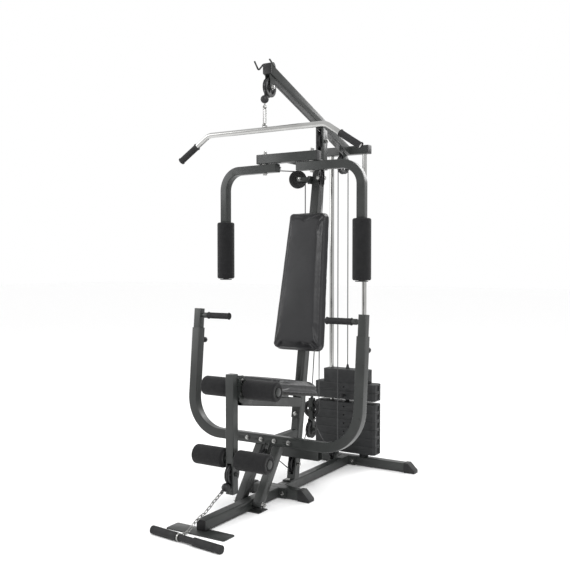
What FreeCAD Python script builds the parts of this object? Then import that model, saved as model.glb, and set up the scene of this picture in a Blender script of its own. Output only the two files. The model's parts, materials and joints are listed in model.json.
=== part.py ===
import FreeCAD
import Part
import math
import os

# Multi station home gym: lat pulldown, chest press, butterfly, leg extension and low curl bar
# around one weight stack.  Millimetres, +Z up, the user faces -Y, the symmetry plane is X = 0.
# The pieces are laid out from an origin near the press arm's stand and moved along Y at the end,
# so that the finished origin is the centre of the footprint on the floor.

V = FreeCAD.Vector
X_AXIS = V(1, 0, 0)
Y_AXIS = V(0, 1, 0)
Z_AXIS = V(0, 0, 1)

# ---------------------------------------------------------------- driving dimensions
TUBE = 45.0              # frame tube, outside
WALL = 2.0               # frame tube wall
CORNER = 4.0             # outside corner radius of every square tube
PLATE = 5.0              # flange and ear plate thickness
SIDE_PLATE = 3.0         # pulley side plate thickness
FLOOR_GAP = 5.0          # base tubes stand this far above the floor
FIT = 0.05               # radial clearance of a running bore
HOLE_GAP = 0.15          # radial clearance of a plain bolt hole

BEAM_FRONT_Y = -470.0    # front end of the base beam
MID_FOOT_Y = 110.0       # centre of the middle foot
MID_FOOT_HALF = 138.0    # half length of its tube
REAR_FOOT_Y = 825.0      # centre of the rear foot, guide rods and weight stack
REAR_FOOT_HALF = 355.0
FOOT_CAP_REACH = 46.0    # how far a slanted foot cap runs past its tube
FOOT_PLATE_X = 148.0     # half width of the front foot plate
FOOT_PLATE_Y = (-519.0, -441.0)
PIVOT_PLATE_X = 75.0     # small plate under the beam at the press arm pivot

UPRIGHT_Y = 248.0        # where the leaning upright meets the base beam
UPRIGHT_TILT = 9.5       # degrees back from vertical
TOP_BEAM_Z = 1597.0      # centre height of the two top beams
CROSS_BEAM_Y = 204.5     # centre of the front cross beam, and of the butterfly pivots
CROSS_BEAM_HALF = 162.5
RISER_Y = 530.0
BOOM_TIP_Y = 25.0
BOOM_TIP_Z = 1979.0
BOOM_TILT = 19.6         # degrees down towards the rear
ROD_BEAM_HALF = 125.0
ROD_X = 99.0
ROD_R = 12.5

CABLE_R = 2.6
CABLE_GAP = 0.4          # a moving strand stops this far short of a fixed arc
PULLEY_R = 45.0          # outside radius of the cable pulleys
PITCH_R = 40.0           # radius of the cable's centre line on them
PULLEY_W = 20.0
REAR_PITCH_R = 46.4      # the larger pulley above the weight stack
PRESS_PITCH_R = 25.0     # the small pulley under the press arm
AXLE_R = 5.0
PIN_HEAD = 3.6          # height of a low pin head
RIM = PULLEY_R - PITCH_R
STRAND_X = -12.0         # the rear cable strand runs beside the selector pin

BOOM_SLOPE = math.tan(math.radians(BOOM_TILT))
BOOM_HALF = TUBE / 2 / math.cos(math.radians(BOOM_TILT))
TIP_PULLEY_Y = 42.0
TIP_PULLEY_DROP = 52.063  # centre below the boom's underside
TIP_FALL = BOOM_SLOPE * (TIP_PULLEY_Y - BOOM_TIP_Y)
TIP_PULLEY = V(0, TIP_PULLEY_Y, BOOM_TIP_Z - TIP_FALL - BOOM_HALF - TIP_PULLEY_DROP)
RISER_PULLEY = V(0, 534, 1716)
REAR_PULLEY_Y = REAR_FOOT_Y - REAR_PITCH_R + 0.4
REAR_PULLEY_DROP = 61.635  # centre below the boom's underside
BOOM_FALL = BOOM_SLOPE * (REAR_PULLEY_Y - BOOM_TIP_Y)
REAR_PULLEY = V(STRAND_X / 2, REAR_PULLEY_Y, BOOM_TIP_Z - BOOM_FALL - BOOM_HALF - REAR_PULLEY_DROP)
UPRIGHT_PULLEY = V(0, 260, 122)
BASE_PULLEY_RISE = 52.0  # centre above the top of the base beam
BASE_PULLEY = V(STRAND_X, 2 * REAR_PULLEY_Y - REAR_FOOT_Y - PITCH_R, FLOOR_GAP + TUBE + BASE_PULLEY_RISE)
FLOAT_UPPER = V(0, 434, 362)
FLOAT_LOWER = V(0, 428, 260)
FLOAT_CROSS_Z = 311.0    # cross piece between the two floating pulleys
LEG_PULLEY = V(0, -257, 190)
PRESS_PULLEY = V(0, 5, 215)

ARM_X = 452.5            # press arm uprights, centre
ARM_WALL = 3.0
ARM_BAR = V(0, 47.5, 279)
ARM_LEAN = 5.2
ARM_BEND = 172.0
ARM_TOP = 500.0          # outer tube top, along the leaning arm from the bar's centre
ARM_PIVOT = V(0, -125, 30)
YOKE_LEG = 40.0
YOKE_LEG_X = 47.5
INNER_TUBE = 38.0
STOP_ARM_Y = 88.0        # front face of the arm that the press arm rests against
STOP_ARM_Z = 270.0
CROSS_BAR_Z = 188.0      # cross bar on the front of the upright
CROSS_BAR_HALF = 165.0
CROSS_BAR_STANDOFF = 23.5
INNER_LOW = 350.0
INNER_TOP = 595.0
HANDLE_S = 562.0
HANDLE_END_X = 271.0
GRIP_LENGTH = 125.0
KNOB_S = 440.0
PRESS_BOLT_X = (36.0, 113.0)

LEG_TUBE = 40.0
LEG_Y = -257.0
LEG_Z = (104.0, 620.0)
HINGE = V(0, -222, 590)
LEG_STOP = V(0, -224, 533)
STOP_R = 12.5
KNEE_AXLE = V(0, -190, 549)
SHIN_AXLE = V(0, -257, 254)
FOAM_R = 43.0
FOAM_X = (TUBE / 2 + PLATE + 4.5, 192.0)
ROLL_TUBE_R = 12.5

SEAT_JOIN_Z = 414.3      # height of the seat beam's axis on the upright's axis
SEAT_FRONT = 505.0       # seat beam length in front of the upright
SEAT_PAD = (380.0, 320.0, 46.0)
SEAT_SETBACK = 62.0      # front edge of the pad behind the front of the seat beam
BACK_PAD_S = (622.0, 1302.0)
BACK_HALF = (138.0, 105.0)
BACK_THICK = 46.0
BOARD = 10.0
STRAP = 8.0
SEAT_RISE = 16.0

PLATE_HALF_X = 182.0     # weight plates
PLATE_HALF_Y = 45.0
PLATE_PITCH = 45.0
PLATE_GAP = 0.6
STACK_Z = 71.0           # underside of the lowest plate
FIXED_PLATES = 6
LIFTED_PLATES = 2
LIFT_GAP = 17.6          # the tight cable holds the chosen plates this far above the rest
HEAD_HALF_X = 130.0
HEAD_HEIGHT = 71.0
STEM_R = 11.0
PIN_R = 4.0

FLY_X = 131.0            # butterfly pivots
FLY_REACH = 250.0        # pivot to roller
FLY_INNER = 72.0         # arm length inside the pivot
FLY_TUBE = 40.0
FLY_GAP = 3.5            # between an arm and the cross beam above it
FLY_Z = TOP_BEAM_Z - TUBE / 2 - FLY_GAP - FLY_TUBE / 2
FLY_BEND = 95.0
FLY_REST = 4.5           # degrees that the resting arms stand back
FLY_FOAM_Z = (1018.0, 1300.0)
CAM_PITCH = 75.0
CAM_THICK = 10.0
CAM_RUN = 200.0
CAM_HEADING = 52.2
FLY_PULLEY_Z = FLY_Z - 36.0

LAT_Y = TIP_PULLEY.y - PITCH_R
LAT_Z = 1700.0
LAT_BEND_X = 315.0
LAT_END = (482.0, 1591.0)
LAT_R = 12.5
LAT_GRIP_R = 16.0
LAT_GRIP = 118.0
LAT_BALL_Z = 1838.0
BALL_R = 18.5
LINK_WIRE = 3.2
LINK_BOW = 1.1           # rise of the link's bend across the thickness of an eye
EYE_BORE = 6.0

CURL_CENTRE = V(32, -611, 17.2)
CURL_YAW = -5.7
CURL_HALF = 187.0
CURL_CORE = 45.0
CURL_R = 17.0
CURL_CORE_R = 13.0

solids = {}
holes = []
cord_radii = []


# ---------------------------------------------------------------- small shapes
def turn(direction, x_hint=None):
    """Rotation that takes local Z onto a direction and keeps local X near the hint."""
    z = V(direction).normalize()
    hint = x_hint or (X_AXIS if abs(z.x) < 0.9 else Y_AXIS)
    x = (hint - z * hint.dot(z)).normalize()
    return FreeCAD.Rotation(x, z.cross(x), z, "ZXY")


def put(shape, origin, direction, x_hint=None):
    moved = shape.copy()
    moved.Placement = FreeCAD.Placement(origin, turn(direction, x_hint))
    return moved


def box(xs, ys, zs):
    return Part.makeBox(xs[1] - xs[0], ys[1] - ys[0], zs[1] - zs[0], V(xs[0], ys[0], zs[0]))


def rod(start, end, radius):
    return Part.makeCylinder(radius, (end - start).Length, start, end - start)


def ring(start, end, radius, bore):
    return rod(start, end, radius).cut(rod(start, end, bore))


def plate(points, axis, low, high):
    """Polygon in the plane across an axis, between two places along it."""
    spots = {"x": lambda a, b: V(low, a, b), "y": lambda a, b: V(a, low, b)}
    spots["z"] = lambda a, b: V(a, b, low)
    corners = [spots[axis](a, b) for a, b in points]
    face = Part.Face(Part.makePolygon(corners + corners[:1]))
    return face.extrude({"x": X_AXIS, "y": Y_AXIS, "z": Z_AXIS}[axis] * (high - low))


def square_wire(size, radius):
    half = size / 2
    outline = Part.makePlane(size, size, V(-half, -half, 0)).OuterWire
    if radius <= 0.1:
        return outline
    inner = half - radius
    edges = []
    for k in range(4):
        spin = FreeCAD.Rotation(Z_AXIS, 90 * k)
        a = spin.multVec(V(half, -inner, 0))
        b = spin.multVec(V(half, inner, 0))
        c = spin.multVec(V(inner, half, 0))
        bulge = radius * math.sqrt(0.5)
        mid = spin.multVec(V(inner + bulge, inner + bulge, 0))
        edges += [Part.makeLine(a, b), Part.Arc(b, mid, c).toShape()]
    return Part.Wire(edges)


def square_section(size, wall):
    outer = Part.Face(square_wire(size, CORNER))
    if not wall:
        return outer
    return outer.cut(Part.Face(square_wire(size - 2 * wall, CORNER - wall)))


def round_section(radius):
    return Part.Face(Part.Wire(Part.makeCircle(radius)))


def bar(start, end, size, hint=None):
    """Solid square bar, used to trim what meets a tube."""
    return put(square_section(size, 0), start, end - start, hint).extrude(end - start)


def tube(start, end, size=TUBE, wall=WALL, hint=None):
    return put(square_section(size, wall), start, end - start, hint).extrude(end - start)


def closed_tube(start, end, size, wall, hint=None):
    """Square tube with a welded wall at each end."""
    inset = (end - start).normalize() * wall
    core = put(Part.Face(square_wire(size - 2 * wall, CORNER - wall)), start + inset, end - start, hint)
    return bar(start, end, size, hint).cut(core.extrude(end - start - inset * 2))


def bent(points, radius, section, hint=None):
    """Section carried along straight runs that are joined by arcs of one radius."""
    runs = [(b - a).normalize() for a, b in zip(points, points[1:])]
    pieces = []
    start = points[0]
    for k, run in enumerate(runs):
        if k == len(runs) - 1:
            stop = points[-1]
        else:
            angle = run.getAngle(runs[k + 1])
            back = radius * math.tan(angle / 2)
            stop = points[k + 1] - run * back
        face = put(section, start, run, hint)
        pieces.append(face.extrude(stop - start))
        if k < len(runs) - 1:
            axis = run.cross(runs[k + 1]).normalize()
            centre = stop + axis.cross(run) * radius
            face = put(section, stop, run, hint)
            pieces.append(face.revolve(centre, axis, math.degrees(angle)))
            start = points[k + 1] + runs[k + 1] * back
    return pieces[0].multiFuse(pieces[1:]).removeSplitter()


def hexagon(start, direction, across, height):
    points = []
    for k in range(6):
        angle = math.radians(60 * k)
        points.append(V(across / math.sqrt(3) * math.cos(angle), across / math.sqrt(3) * math.sin(angle), 0))
    face = Part.Face(Part.makePolygon(points + points[:1]))
    return put(face, start, direction).extrude(V(direction).normalize() * height)


def bolt(start, end, radius=5.0, nut=True, gap=HOLE_GAP, tail=6.0):
    """Bolt with its head outside start and a nut outside end; its hole is drilled later."""
    run = (end - start).normalize()
    head = hexagon(start - run * 2, V(0, 0, 0) - run, 3.2 * radius, 1.2 * radius)
    pieces = [head, rod(start - run * 2, start, 2.1 * radius)]
    shank_end = end
    if nut:
        shank_end = end + run * (2 + 1.7 * radius + tail)
        pieces.append(rod(end, end + run * 2, 2.1 * radius))
        pieces.append(hexagon(end + run * 2, run, 3.2 * radius, 1.7 * radius))
    pieces.append(rod(start - run * 2, shank_end, radius))
    holes.append((start - run * 0.5, end + run * 0.5, radius + gap))
    return pieces[0].multiFuse(pieces[1:]).removeSplitter()


def pin(start, end, radius, head, gap=FIT):
    """Plain axle with a low button head at each end."""
    run = (end - start).normalize()
    pieces = [rod(start, end, radius)]
    pieces.append(rod(start - run * PIN_HEAD, start, head))
    pieces.append(rod(end, end + run * PIN_HEAD, head))
    holes.append((start - run * 0.5, end + run * 0.5, radius + gap))
    return pieces[0].multiFuse(pieces[1:]).removeSplitter()


def pulley(centre, axis, pitch=PITCH_R, bore=AXLE_R + FIT, windows=6):
    """Grooved wheel with a hub and a web, which has windows in it if there is room."""
    outer = pitch + RIM
    floor = pitch - CABLE_R - 0.3
    half = PULLEY_W / 2
    web = 5.0
    hub = 13.0
    rim_in = floor - 7
    profile = [(bore, -half), (hub, -half), (hub + 1, -web), (rim_in, -web), (rim_in + 1.5, -half + 1),
               (outer - 1, -half + 1), (outer, -half + 2.4), (floor + 1.5, -3.2), (floor, -1.6)]
    profile += [(r, -w) for r, w in reversed(profile)]
    corners = [V(r, 0, w) for r, w in profile]
    wheel = Part.Face(Part.makePolygon(corners + corners[:1])).revolve(V(0, 0, 0), Z_AXIS, 360)
    window_r = (rim_in - hub) / 2 - 2.5
    if window_r > 3:
        for k in range(windows):
            angle = math.radians(360 * k / windows)
            middle = (rim_in + hub + 1) / 2
            spot = V(middle * math.cos(angle), middle * math.sin(angle), -half)
            wheel = wheel.cut(Part.makeCylinder(window_r, PULLEY_W, spot))
    return put(wheel, centre, axis)


def ears(centre, axis, outline, gap=PULLEY_W / 2 + 1.0, thick=SIDE_PLATE):
    """Two parallel plates beside a pulley; outline is (across, up) from the pulley's centre."""
    side = Z_AXIS.cross(axis).normalize()
    both = []
    for sign in (-1, 1):
        base = centre + axis * (sign * gap)
        corners = [base + side * a + Z_AXIS * b for a, b in outline]
        face = Part.Face(Part.makePolygon(corners + corners[:1]))
        both.append(face.extrude(axis * (sign * thick)))
    return both


def axle(centre, axis, reach=PULLEY_W / 2 + 1.0 + SIDE_PLATE):
    axis = V(axis).normalize()
    return bolt(centre - axis * reach, centre + axis * reach, AXLE_R, gap=FIT, tail=2.0)


def fuse(*pieces):
    return pieces[0].multiFuse(list(pieces[1:])).removeSplitter() if len(pieces) > 1 else pieces[0]


def group(*pieces):
    return Part.makeCompound(list(pieces))


def mirror(shape):
    return shape.mirror(V(0, 0, 0), X_AXIS)


def both_sides(make):
    one = make()
    return [one, mirror(one)]


# ---------------------------------------------------------------- cable routes
def belt(stations):
    """Tangent lines and arcs past wheels (y, z, radius, way); way is +1 with the wheel on the left."""
    lines = []
    for (ay, az, ar, aw), (by, bz, br, bw) in zip(stations, stations[1:]):
        heading = math.atan2(bz - az, by - ay)
        offset = (bw * br - aw * ar) / math.hypot(by - ay, bz - az)
        heading -= math.asin(offset)
        ny = -math.sin(heading)
        nz = math.cos(heading)
        lines.append(((ay - aw * ar * ny, az - aw * ar * nz), (by - bw * br * ny, bz - bw * br * nz)))
    return lines


def wheel_middle(station, enter, leave):
    """Point of a wheel's arc halfway between where the cable enters and leaves."""
    cy, cz, radius, way = station
    first = math.atan2(enter[1] - cz, enter[0] - cy)
    sweep = (math.atan2(leave[1] - cz, leave[0] - cy) - first) * way % (2 * math.pi)
    middle = first + way * sweep / 2
    return cy + radius * math.cos(middle), cz + radius * math.sin(middle)


def rope_line(start, end):
    return rod(start, end, CABLE_R)


def rope_arc(start, middle, end):
    circle = Part.Arc(start, middle, end).toShape()
    ahead = circle.tangentAt(circle.FirstParameter)
    centre = circle.Curve.Center
    axis = (middle - start).cross(end - middle).normalize()
    angle = math.degrees(circle.Length / circle.Curve.Radius)
    cord_radii.append(circle.Curve.Radius)
    return put(round_section(CABLE_R), start, ahead).revolve(centre, axis, angle)


def station(point, radius=0.0, way=1):
    return (point.y, point.z, radius, way)


def flat_route(stations, x_first=0.0, x_last=0.0):
    """Lines and arcs of a route in a plane of constant X, as two lists."""
    lines = belt(stations)
    spans = [(V(x_first, a[0], a[1]), V(x_last, b[0], b[1])) for a, b in lines]
    arcs = []
    for k in range(1, len(lines)):
        mid = wheel_middle(stations[k], lines[k - 1][1], lines[k][0])
        arcs.append((spans[k - 1][1], V(x_last, mid[0], mid[1]), V(x_last, lines[k][0][0], lines[k][0][1])))
    return spans, arcs


# ---------------------------------------------------------------- base
BASE_Z = FLOOR_GAP + TUBE / 2
BEAM_TOP = FLOOR_GAP + TUBE
FLANGE_X = 62.0
FLANGE_BOLT_X = 42.0


def foot_cap(x_end, y_centre):
    """Slanted plastic end that carries a foot tube and reaches the floor."""
    skirt = 14.0
    lip = 2.0
    top = BEAM_TOP + lip
    outline = [(x_end - skirt, 0), (x_end - skirt, top), (x_end + 8, top), (x_end + FOOT_CAP_REACH, 14),
               (x_end + FOOT_CAP_REACH, 0)]
    half = TUBE / 2 + lip
    shell = plate(outline, "y", y_centre - half, y_centre + half)
    run = bar(V(x_end - skirt - 1, y_centre, BASE_Z), V(x_end, y_centre, BASE_Z), TUBE)
    return shell.cut(run)


def build_base():
    front_face = MID_FOOT_Y - TUBE / 2
    rear_face = MID_FOOT_Y + TUBE / 2
    stop = REAR_FOOT_Y - TUBE / 2
    zs = (FLOOR_GAP, BEAM_TOP)
    beam = tube(V(0, BEAM_FRONT_Y, BASE_Z), V(0, front_face - PLATE, BASE_Z))
    flange = box((-FLANGE_X, FLANGE_X), (front_face - PLATE, front_face), zs)
    foot = box((-FOOT_PLATE_X, FOOT_PLATE_X), FOOT_PLATE_Y, (0, FLOOR_GAP))
    corners = [edge for edge in foot.Edges if abs(edge.Vertexes[0].Z - edge.Vertexes[1].Z) > 1]
    pivot_y = ARM_PIVOT.y
    pivot_plate = box((-PIVOT_PLATE_X, PIVOT_PLATE_X), (pivot_y - 35, pivot_y + 35), (FLOOR_GAP - 4, FLOOR_GAP))
    solids["front_base_beam"] = fuse(beam, flange, foot.makeFillet(8, corners), pivot_plate)
    middle = tube(V(-MID_FOOT_HALF, MID_FOOT_Y, BASE_Z), V(MID_FOOT_HALF, MID_FOOT_Y, BASE_Z))
    rear = tube(V(0, rear_face + PLATE, BASE_Z), V(0, stop - PLATE, BASE_Z))
    ends = [box((-FLANGE_X, FLANGE_X), (rear_face, rear_face + PLATE), zs)]
    ends.append(box((-FLANGE_X, FLANGE_X), (stop - PLATE, stop), zs))
    seat = box((STRAND_X - 20, 22), (BASE_PULLEY.y - 30, BASE_PULLEY.y + 30), (BEAM_TOP, BEAM_TOP + 4))
    low = BEAM_TOP + 4 - BASE_PULLEY.z
    cheeks = ears(BASE_PULLEY, X_AXIS, [(-24, low), (24, low), (11, 10), (-11, 10)])
    solids["rear_base_beam"] = fuse(rear, *ends, seat, *cheeks)
    last = tube(V(-REAR_FOOT_HALF, REAR_FOOT_Y, BASE_Z), V(REAR_FOOT_HALF, REAR_FOOT_Y, BASE_Z))
    solids["cross_feet"] = group(middle, last)
    caps = []
    for x_end, y_centre in ((MID_FOOT_HALF, MID_FOOT_Y), (REAR_FOOT_HALF, REAR_FOOT_Y)):
        caps += both_sides(lambda: foot_cap(x_end, y_centre))
    caps.append(end_cap(V(0, BEAM_FRONT_Y, BASE_Z), V(0, -1, 0)))
    caps += both_sides(lambda: end_cap(V(CROSS_BEAM_HALF, CROSS_BEAM_Y, TOP_BEAM_Z), X_AXIS))
    caps += both_sides(lambda: end_cap(V(ROD_BEAM_HALF, REAR_FOOT_Y, ROD_BEAM_Z), X_AXIS))
    caps.append(boom_cap())
    solids["tube_caps"] = group(*caps)
    bolts = []
    for x in (-FLANGE_BOLT_X, FLANGE_BOLT_X):
        bolts.append(bolt(V(x, front_face - PLATE, BASE_Z), V(x, rear_face + PLATE, BASE_Z)))
        bolts.append(bolt(V(x, stop - PLATE, BASE_Z), V(x, REAR_FOOT_Y + TUBE / 2, BASE_Z)))
    return bolts


def end_cap(face, out):
    """Flat plastic cap on a tube end."""
    return put(square_section(TUBE, 0), face, out).extrude(out * 4)


# ---------------------------------------------------------------- upright, top beams and boom
UP = V(0, math.sin(math.radians(UPRIGHT_TILT)), math.cos(math.radians(UPRIGHT_TILT)))
BACK = V(0, UP.z, -UP.y)             # square to the upright, towards the rear
SEAT_NODE = V(0, UPRIGHT_Y + (SEAT_JOIN_Z - BEAM_TOP) * UP.y / UP.z, SEAT_JOIN_Z)
TOP_LOW = TOP_BEAM_Z - TUBE / 2
TOP_HIGH = TOP_BEAM_Z + TUBE / 2
BOOM = V(0, math.cos(math.radians(BOOM_TILT)), -math.sin(math.radians(BOOM_TILT)))
ROD_FACE_Y = REAR_FOOT_Y - TUBE / 2
TAN_BOOM = math.tan(math.radians(BOOM_TILT))
ROD_BEAM_Z = BOOM_TIP_Z - TAN_BOOM * (ROD_FACE_Y - BOOM_TIP_Y)
TOP_BEAM_END = RISER_Y + TUBE / 2


def on_upright(z):
    """Point of the upright's axis at a height."""
    return V(0, UPRIGHT_Y + (z - BEAM_TOP) * UP.y / UP.z, z)


def boom_under(y):
    return BOOM_TIP_Z - TAN_BOOM * (y - BOOM_TIP_Y) - TUBE / 2 / BOOM.y


def boom_bar(section):
    start = V(0, BOOM_TIP_Y, BOOM_TIP_Z) - BOOM * 60
    full = put(section, start, BOOM).extrude(BOOM * 1100)
    return full.common(box((-60, 60), (BOOM_TIP_Y, ROD_FACE_Y), (1400, 2200)))


def boom_cap():
    start = V(0, BOOM_TIP_Y, BOOM_TIP_Z) - BOOM * 60
    full = put(square_section(TUBE, 0), start, BOOM).extrude(BOOM * 200)
    return full.common(box((-60, 60), (BOOM_TIP_Y - 4, BOOM_TIP_Y), (1400, 2200)))


def slot(centre, along, length, across=PULLEY_W / 2 + 1.5, depth=120.0):
    """Cutter for the slot that a pulley sits in, open to the front and the rear."""
    block = Part.makeBox(2 * across, depth, length, V(-across, -depth / 2, -length / 2))
    return put(block, centre, along, X_AXIS)


def build_mast():
    foot_z = BEAM_TOP + PLATE
    head_z = TOP_LOW - PLATE
    full = tube(on_upright(foot_z - 60), on_upright(head_z + 60))
    full = full.common(box((-60, 60), (-200, 900), (foot_z, head_z)))
    full = full.cut(slot(on_upright(UPRIGHT_PULLEY.z), UP, 2 * PULLEY_R + 10))
    half = TUBE / 2
    foot_y = on_upright(BEAM_TOP).y
    head_y = on_upright(TOP_LOW).y
    base = box((-half, half), (foot_y - 58, foot_y + 58), (BEAM_TOP, foot_z))
    head = box((-half, half), (head_y - 58, TOP_BEAM_END), (head_z, TOP_LOW))
    straps = []
    for s in (BACK_PAD_S[0] + 150, BACK_PAD_S[1] - 170):
        middle = on_upright(BEAM_TOP) + UP * s - BACK * (half + STRAP)
        block = Part.makeBox(180, 40, STRAP, V(-90, -20, 0))
        straps.append(put(block, middle, BACK, X_AXIS))
    stop_arm, rest = press_rests()
    solids["main_upright"] = fuse(full, base, head, *straps, stop_arm, rest)

    cross = tube(V(-CROSS_BEAM_HALF, CROSS_BEAM_Y, TOP_BEAM_Z), V(CROSS_BEAM_HALF, CROSS_BEAM_Y, TOP_BEAM_Z))
    spine = tube(V(0, CROSS_BEAM_Y + half, TOP_BEAM_Z), V(0, TOP_BEAM_END, TOP_BEAM_Z))
    riser = tube(V(0, RISER_Y, TOP_HIGH), V(0, RISER_Y, TOP_HIGH + 300))
    riser = riser.cut(slot(V(0, RISER_Y, RISER_PULLEY.z + 5), Z_AXIS, 2 * PULLEY_R + 22))
    above = plate([(400, boom_under(400)), (700, boom_under(700)), (700, 2200), (400, 2200)], "x", -60, 60)
    solids["top_beam"] = fuse(cross, spine, riser.cut(above))

    boom = boom_bar(square_section(TUBE, WALL))
    lift = boom_under(TIP_PULLEY.y + 30) - TIP_PULLEY.z
    rise = boom_under(TIP_PULLEY.y - 16) - TIP_PULLEY.z
    tip = ears(TIP_PULLEY, X_AXIS, [(-16, rise), (-12, -8), (-5, -14), (5, -14), (12, -8), (30, lift)])
    hang = ears(REAR_PULLEY, rear_axis(), [(-22, 68), (22, 46), (12, -10), (5, -15), (-5, -15), (-12, -10)])
    over = plate([(700, boom_under(700)), (860, boom_under(860)), (860, 1900), (700, 1900)], "x", -60, 60)
    hang = [one.cut(over) for one in hang]
    rear_bar = tube(V(-ROD_BEAM_HALF, REAR_FOOT_Y, ROD_BEAM_Z), V(ROD_BEAM_HALF, REAR_FOOT_Y, ROD_BEAM_Z))
    low = ROD_BEAM_Z - half
    rods = both_sides(lambda: rod(V(ROD_X, REAR_FOOT_Y, BEAM_TOP), V(ROD_X, REAR_FOOT_Y, low), ROD_R))
    solids["guide_rods"] = group(*rods)
    hook = [V(-40, -20, 2012), V(-46, 21, 1981), V(-28, 33, 2008), V(28, 33, 2008), V(46, 21, 1981), V(40, -20, 2012)]
    top = BOOM_TIP_Z + TUBE / 2 / BOOM.y - TAN_BOOM * (33 - BOOM_TIP_Y)
    lift = V(0, 0, top + 3.8 - 2008)
    hooks = bent([p + lift for p in hook], 7.0, round_section(4.0)).cut(boom_bar(square_section(TUBE, 0)))
    solids["boom"] = fuse(boom, *tip, *hang, rear_bar, hooks)
    bolts = []
    for y in (foot_y - 42, foot_y + 42):
        bolts.append(bolt(V(0, y, foot_z), V(0, y, BEAM_TOP - WALL), nut=False))
    for y in (head_y - 44, head_y + 40):
        bolts.append(bolt(V(0, y, head_z), V(0, y, TOP_LOW + WALL), 4.0, nut=False))
    bolts += [axle(TIP_PULLEY, X_AXIS), axle(REAR_PULLEY, rear_axis()), axle(BASE_PULLEY, X_AXIS)]
    bolts += [axle(RISER_PULLEY, X_AXIS, half), axle(UPRIGHT_PULLEY, X_AXIS, half)]
    return bolts


def rear_axis():
    """Axis of the pulley above the stack, which is turned to lead one strand past the pin."""
    heading = V(-STRAND_X, 2 * (REAR_FOOT_Y - REAR_PULLEY_Y), 0).normalize()
    return heading.cross(Z_AXIS).normalize()


def bumper():
    low = V(ROD_X, REAR_FOOT_Y, BEAM_TOP)
    return ring(low, V(ROD_X, REAR_FOOT_Y, STACK_Z), 24.0, ROD_R)


# ---------------------------------------------------------------- seat, back rest and knee rollers
SEAT_FACE = SEAT_NODE - BACK * (TUBE / 2)
SEAT_TIP = SEAT_FACE - BACK * SEAT_FRONT


def rounded_block(length, width, height, corner, edge):
    """Cushion blank: corners rounded in plan, then the long edges eased."""
    block = Part.makeBox(length, width, height, V(0, -width / 2, 0))
    upright_edges = [e for e in block.Edges if abs(e.Vertexes[0].Z - e.Vertexes[1].Z) > 1]
    block = block.makeFillet(corner, upright_edges)
    top = [e for e in block.Edges if min(v.Z for v in e.Vertexes) > height - 0.01]
    return block.makeFillet(edge, top)


def seat_frame_place(shape, along, above):
    """Lay a block on the seat beam: local X runs to the rear along the beam, local Z is up."""
    moved = shape.copy()
    rot = FreeCAD.Rotation(BACK, V(-1, 0, 0), UP, "ZXY")
    moved.Placement = FreeCAD.Placement(SEAT_TIP + BACK * along + UP * above, rot)
    return moved


def back_outline(inset=0.0):
    low, high = BACK_PAD_S
    wide, narrow = BACK_HALF
    return [(-wide + inset, low + inset), (wide - inset, low + inset), (narrow - inset, high - inset),
            (-narrow + inset, high - inset)]


def back_panel(near, far, inset, corner):
    """Tapered slab in front of the upright, between two distances from the upright's axis."""
    base = on_upright(BEAM_TOP) - BACK * near
    corners = [base + X_AXIS * a + UP * s for a, s in back_outline(inset)]
    slab = Part.Face(Part.makePolygon(corners + corners[:1])).extrude(BACK * (near - far))
    long_edges = [e for e in slab.Edges if abs(abs((e.Vertexes[1].Point - e.Vertexes[0].Point).dot(BACK))
                                             - e.Length) < 0.01]
    return slab.makeFillet(corner, long_edges)


def foam(centre, x_near, x_far):
    start = V(x_near, centre.y, centre.z)
    sleeve = ring(start, V(x_far, centre.y, centre.z), FOAM_R, ROLL_TUBE_R)
    rims = [e for e in sleeve.Edges if abs(e.Length - 2 * math.pi * FOAM_R) < 0.5]
    return sleeve.makeFillet(5, rims)


def roller_axle(centre):
    """Tube through both rollers, with a plug at each end."""
    reach = FOAM_X[1]
    middle = rod(V(-reach, centre.y, centre.z), V(reach, centre.y, centre.z), ROLL_TUBE_R)
    bore = rod(V(-reach + 8, centre.y, centre.z), V(reach - 8, centre.y, centre.z), ROLL_TUBE_R - 2)
    ends = both_sides(lambda: rod(V(reach, centre.y, centre.z), V(reach + 3, centre.y, centre.z), 19.0))
    collars = both_sides(lambda: ring(V(FOAM_X[0] - 3.0, centre.y, centre.z),
                                      V(FOAM_X[0] - 0.2, centre.y, centre.z), 20.0, ROLL_TUBE_R - 1))
    holes.append((V(-29, centre.y, centre.z), V(29, centre.y, centre.z), ROLL_TUBE_R))
    return fuse(middle.cut(bore), *ends, *collars)


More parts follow.
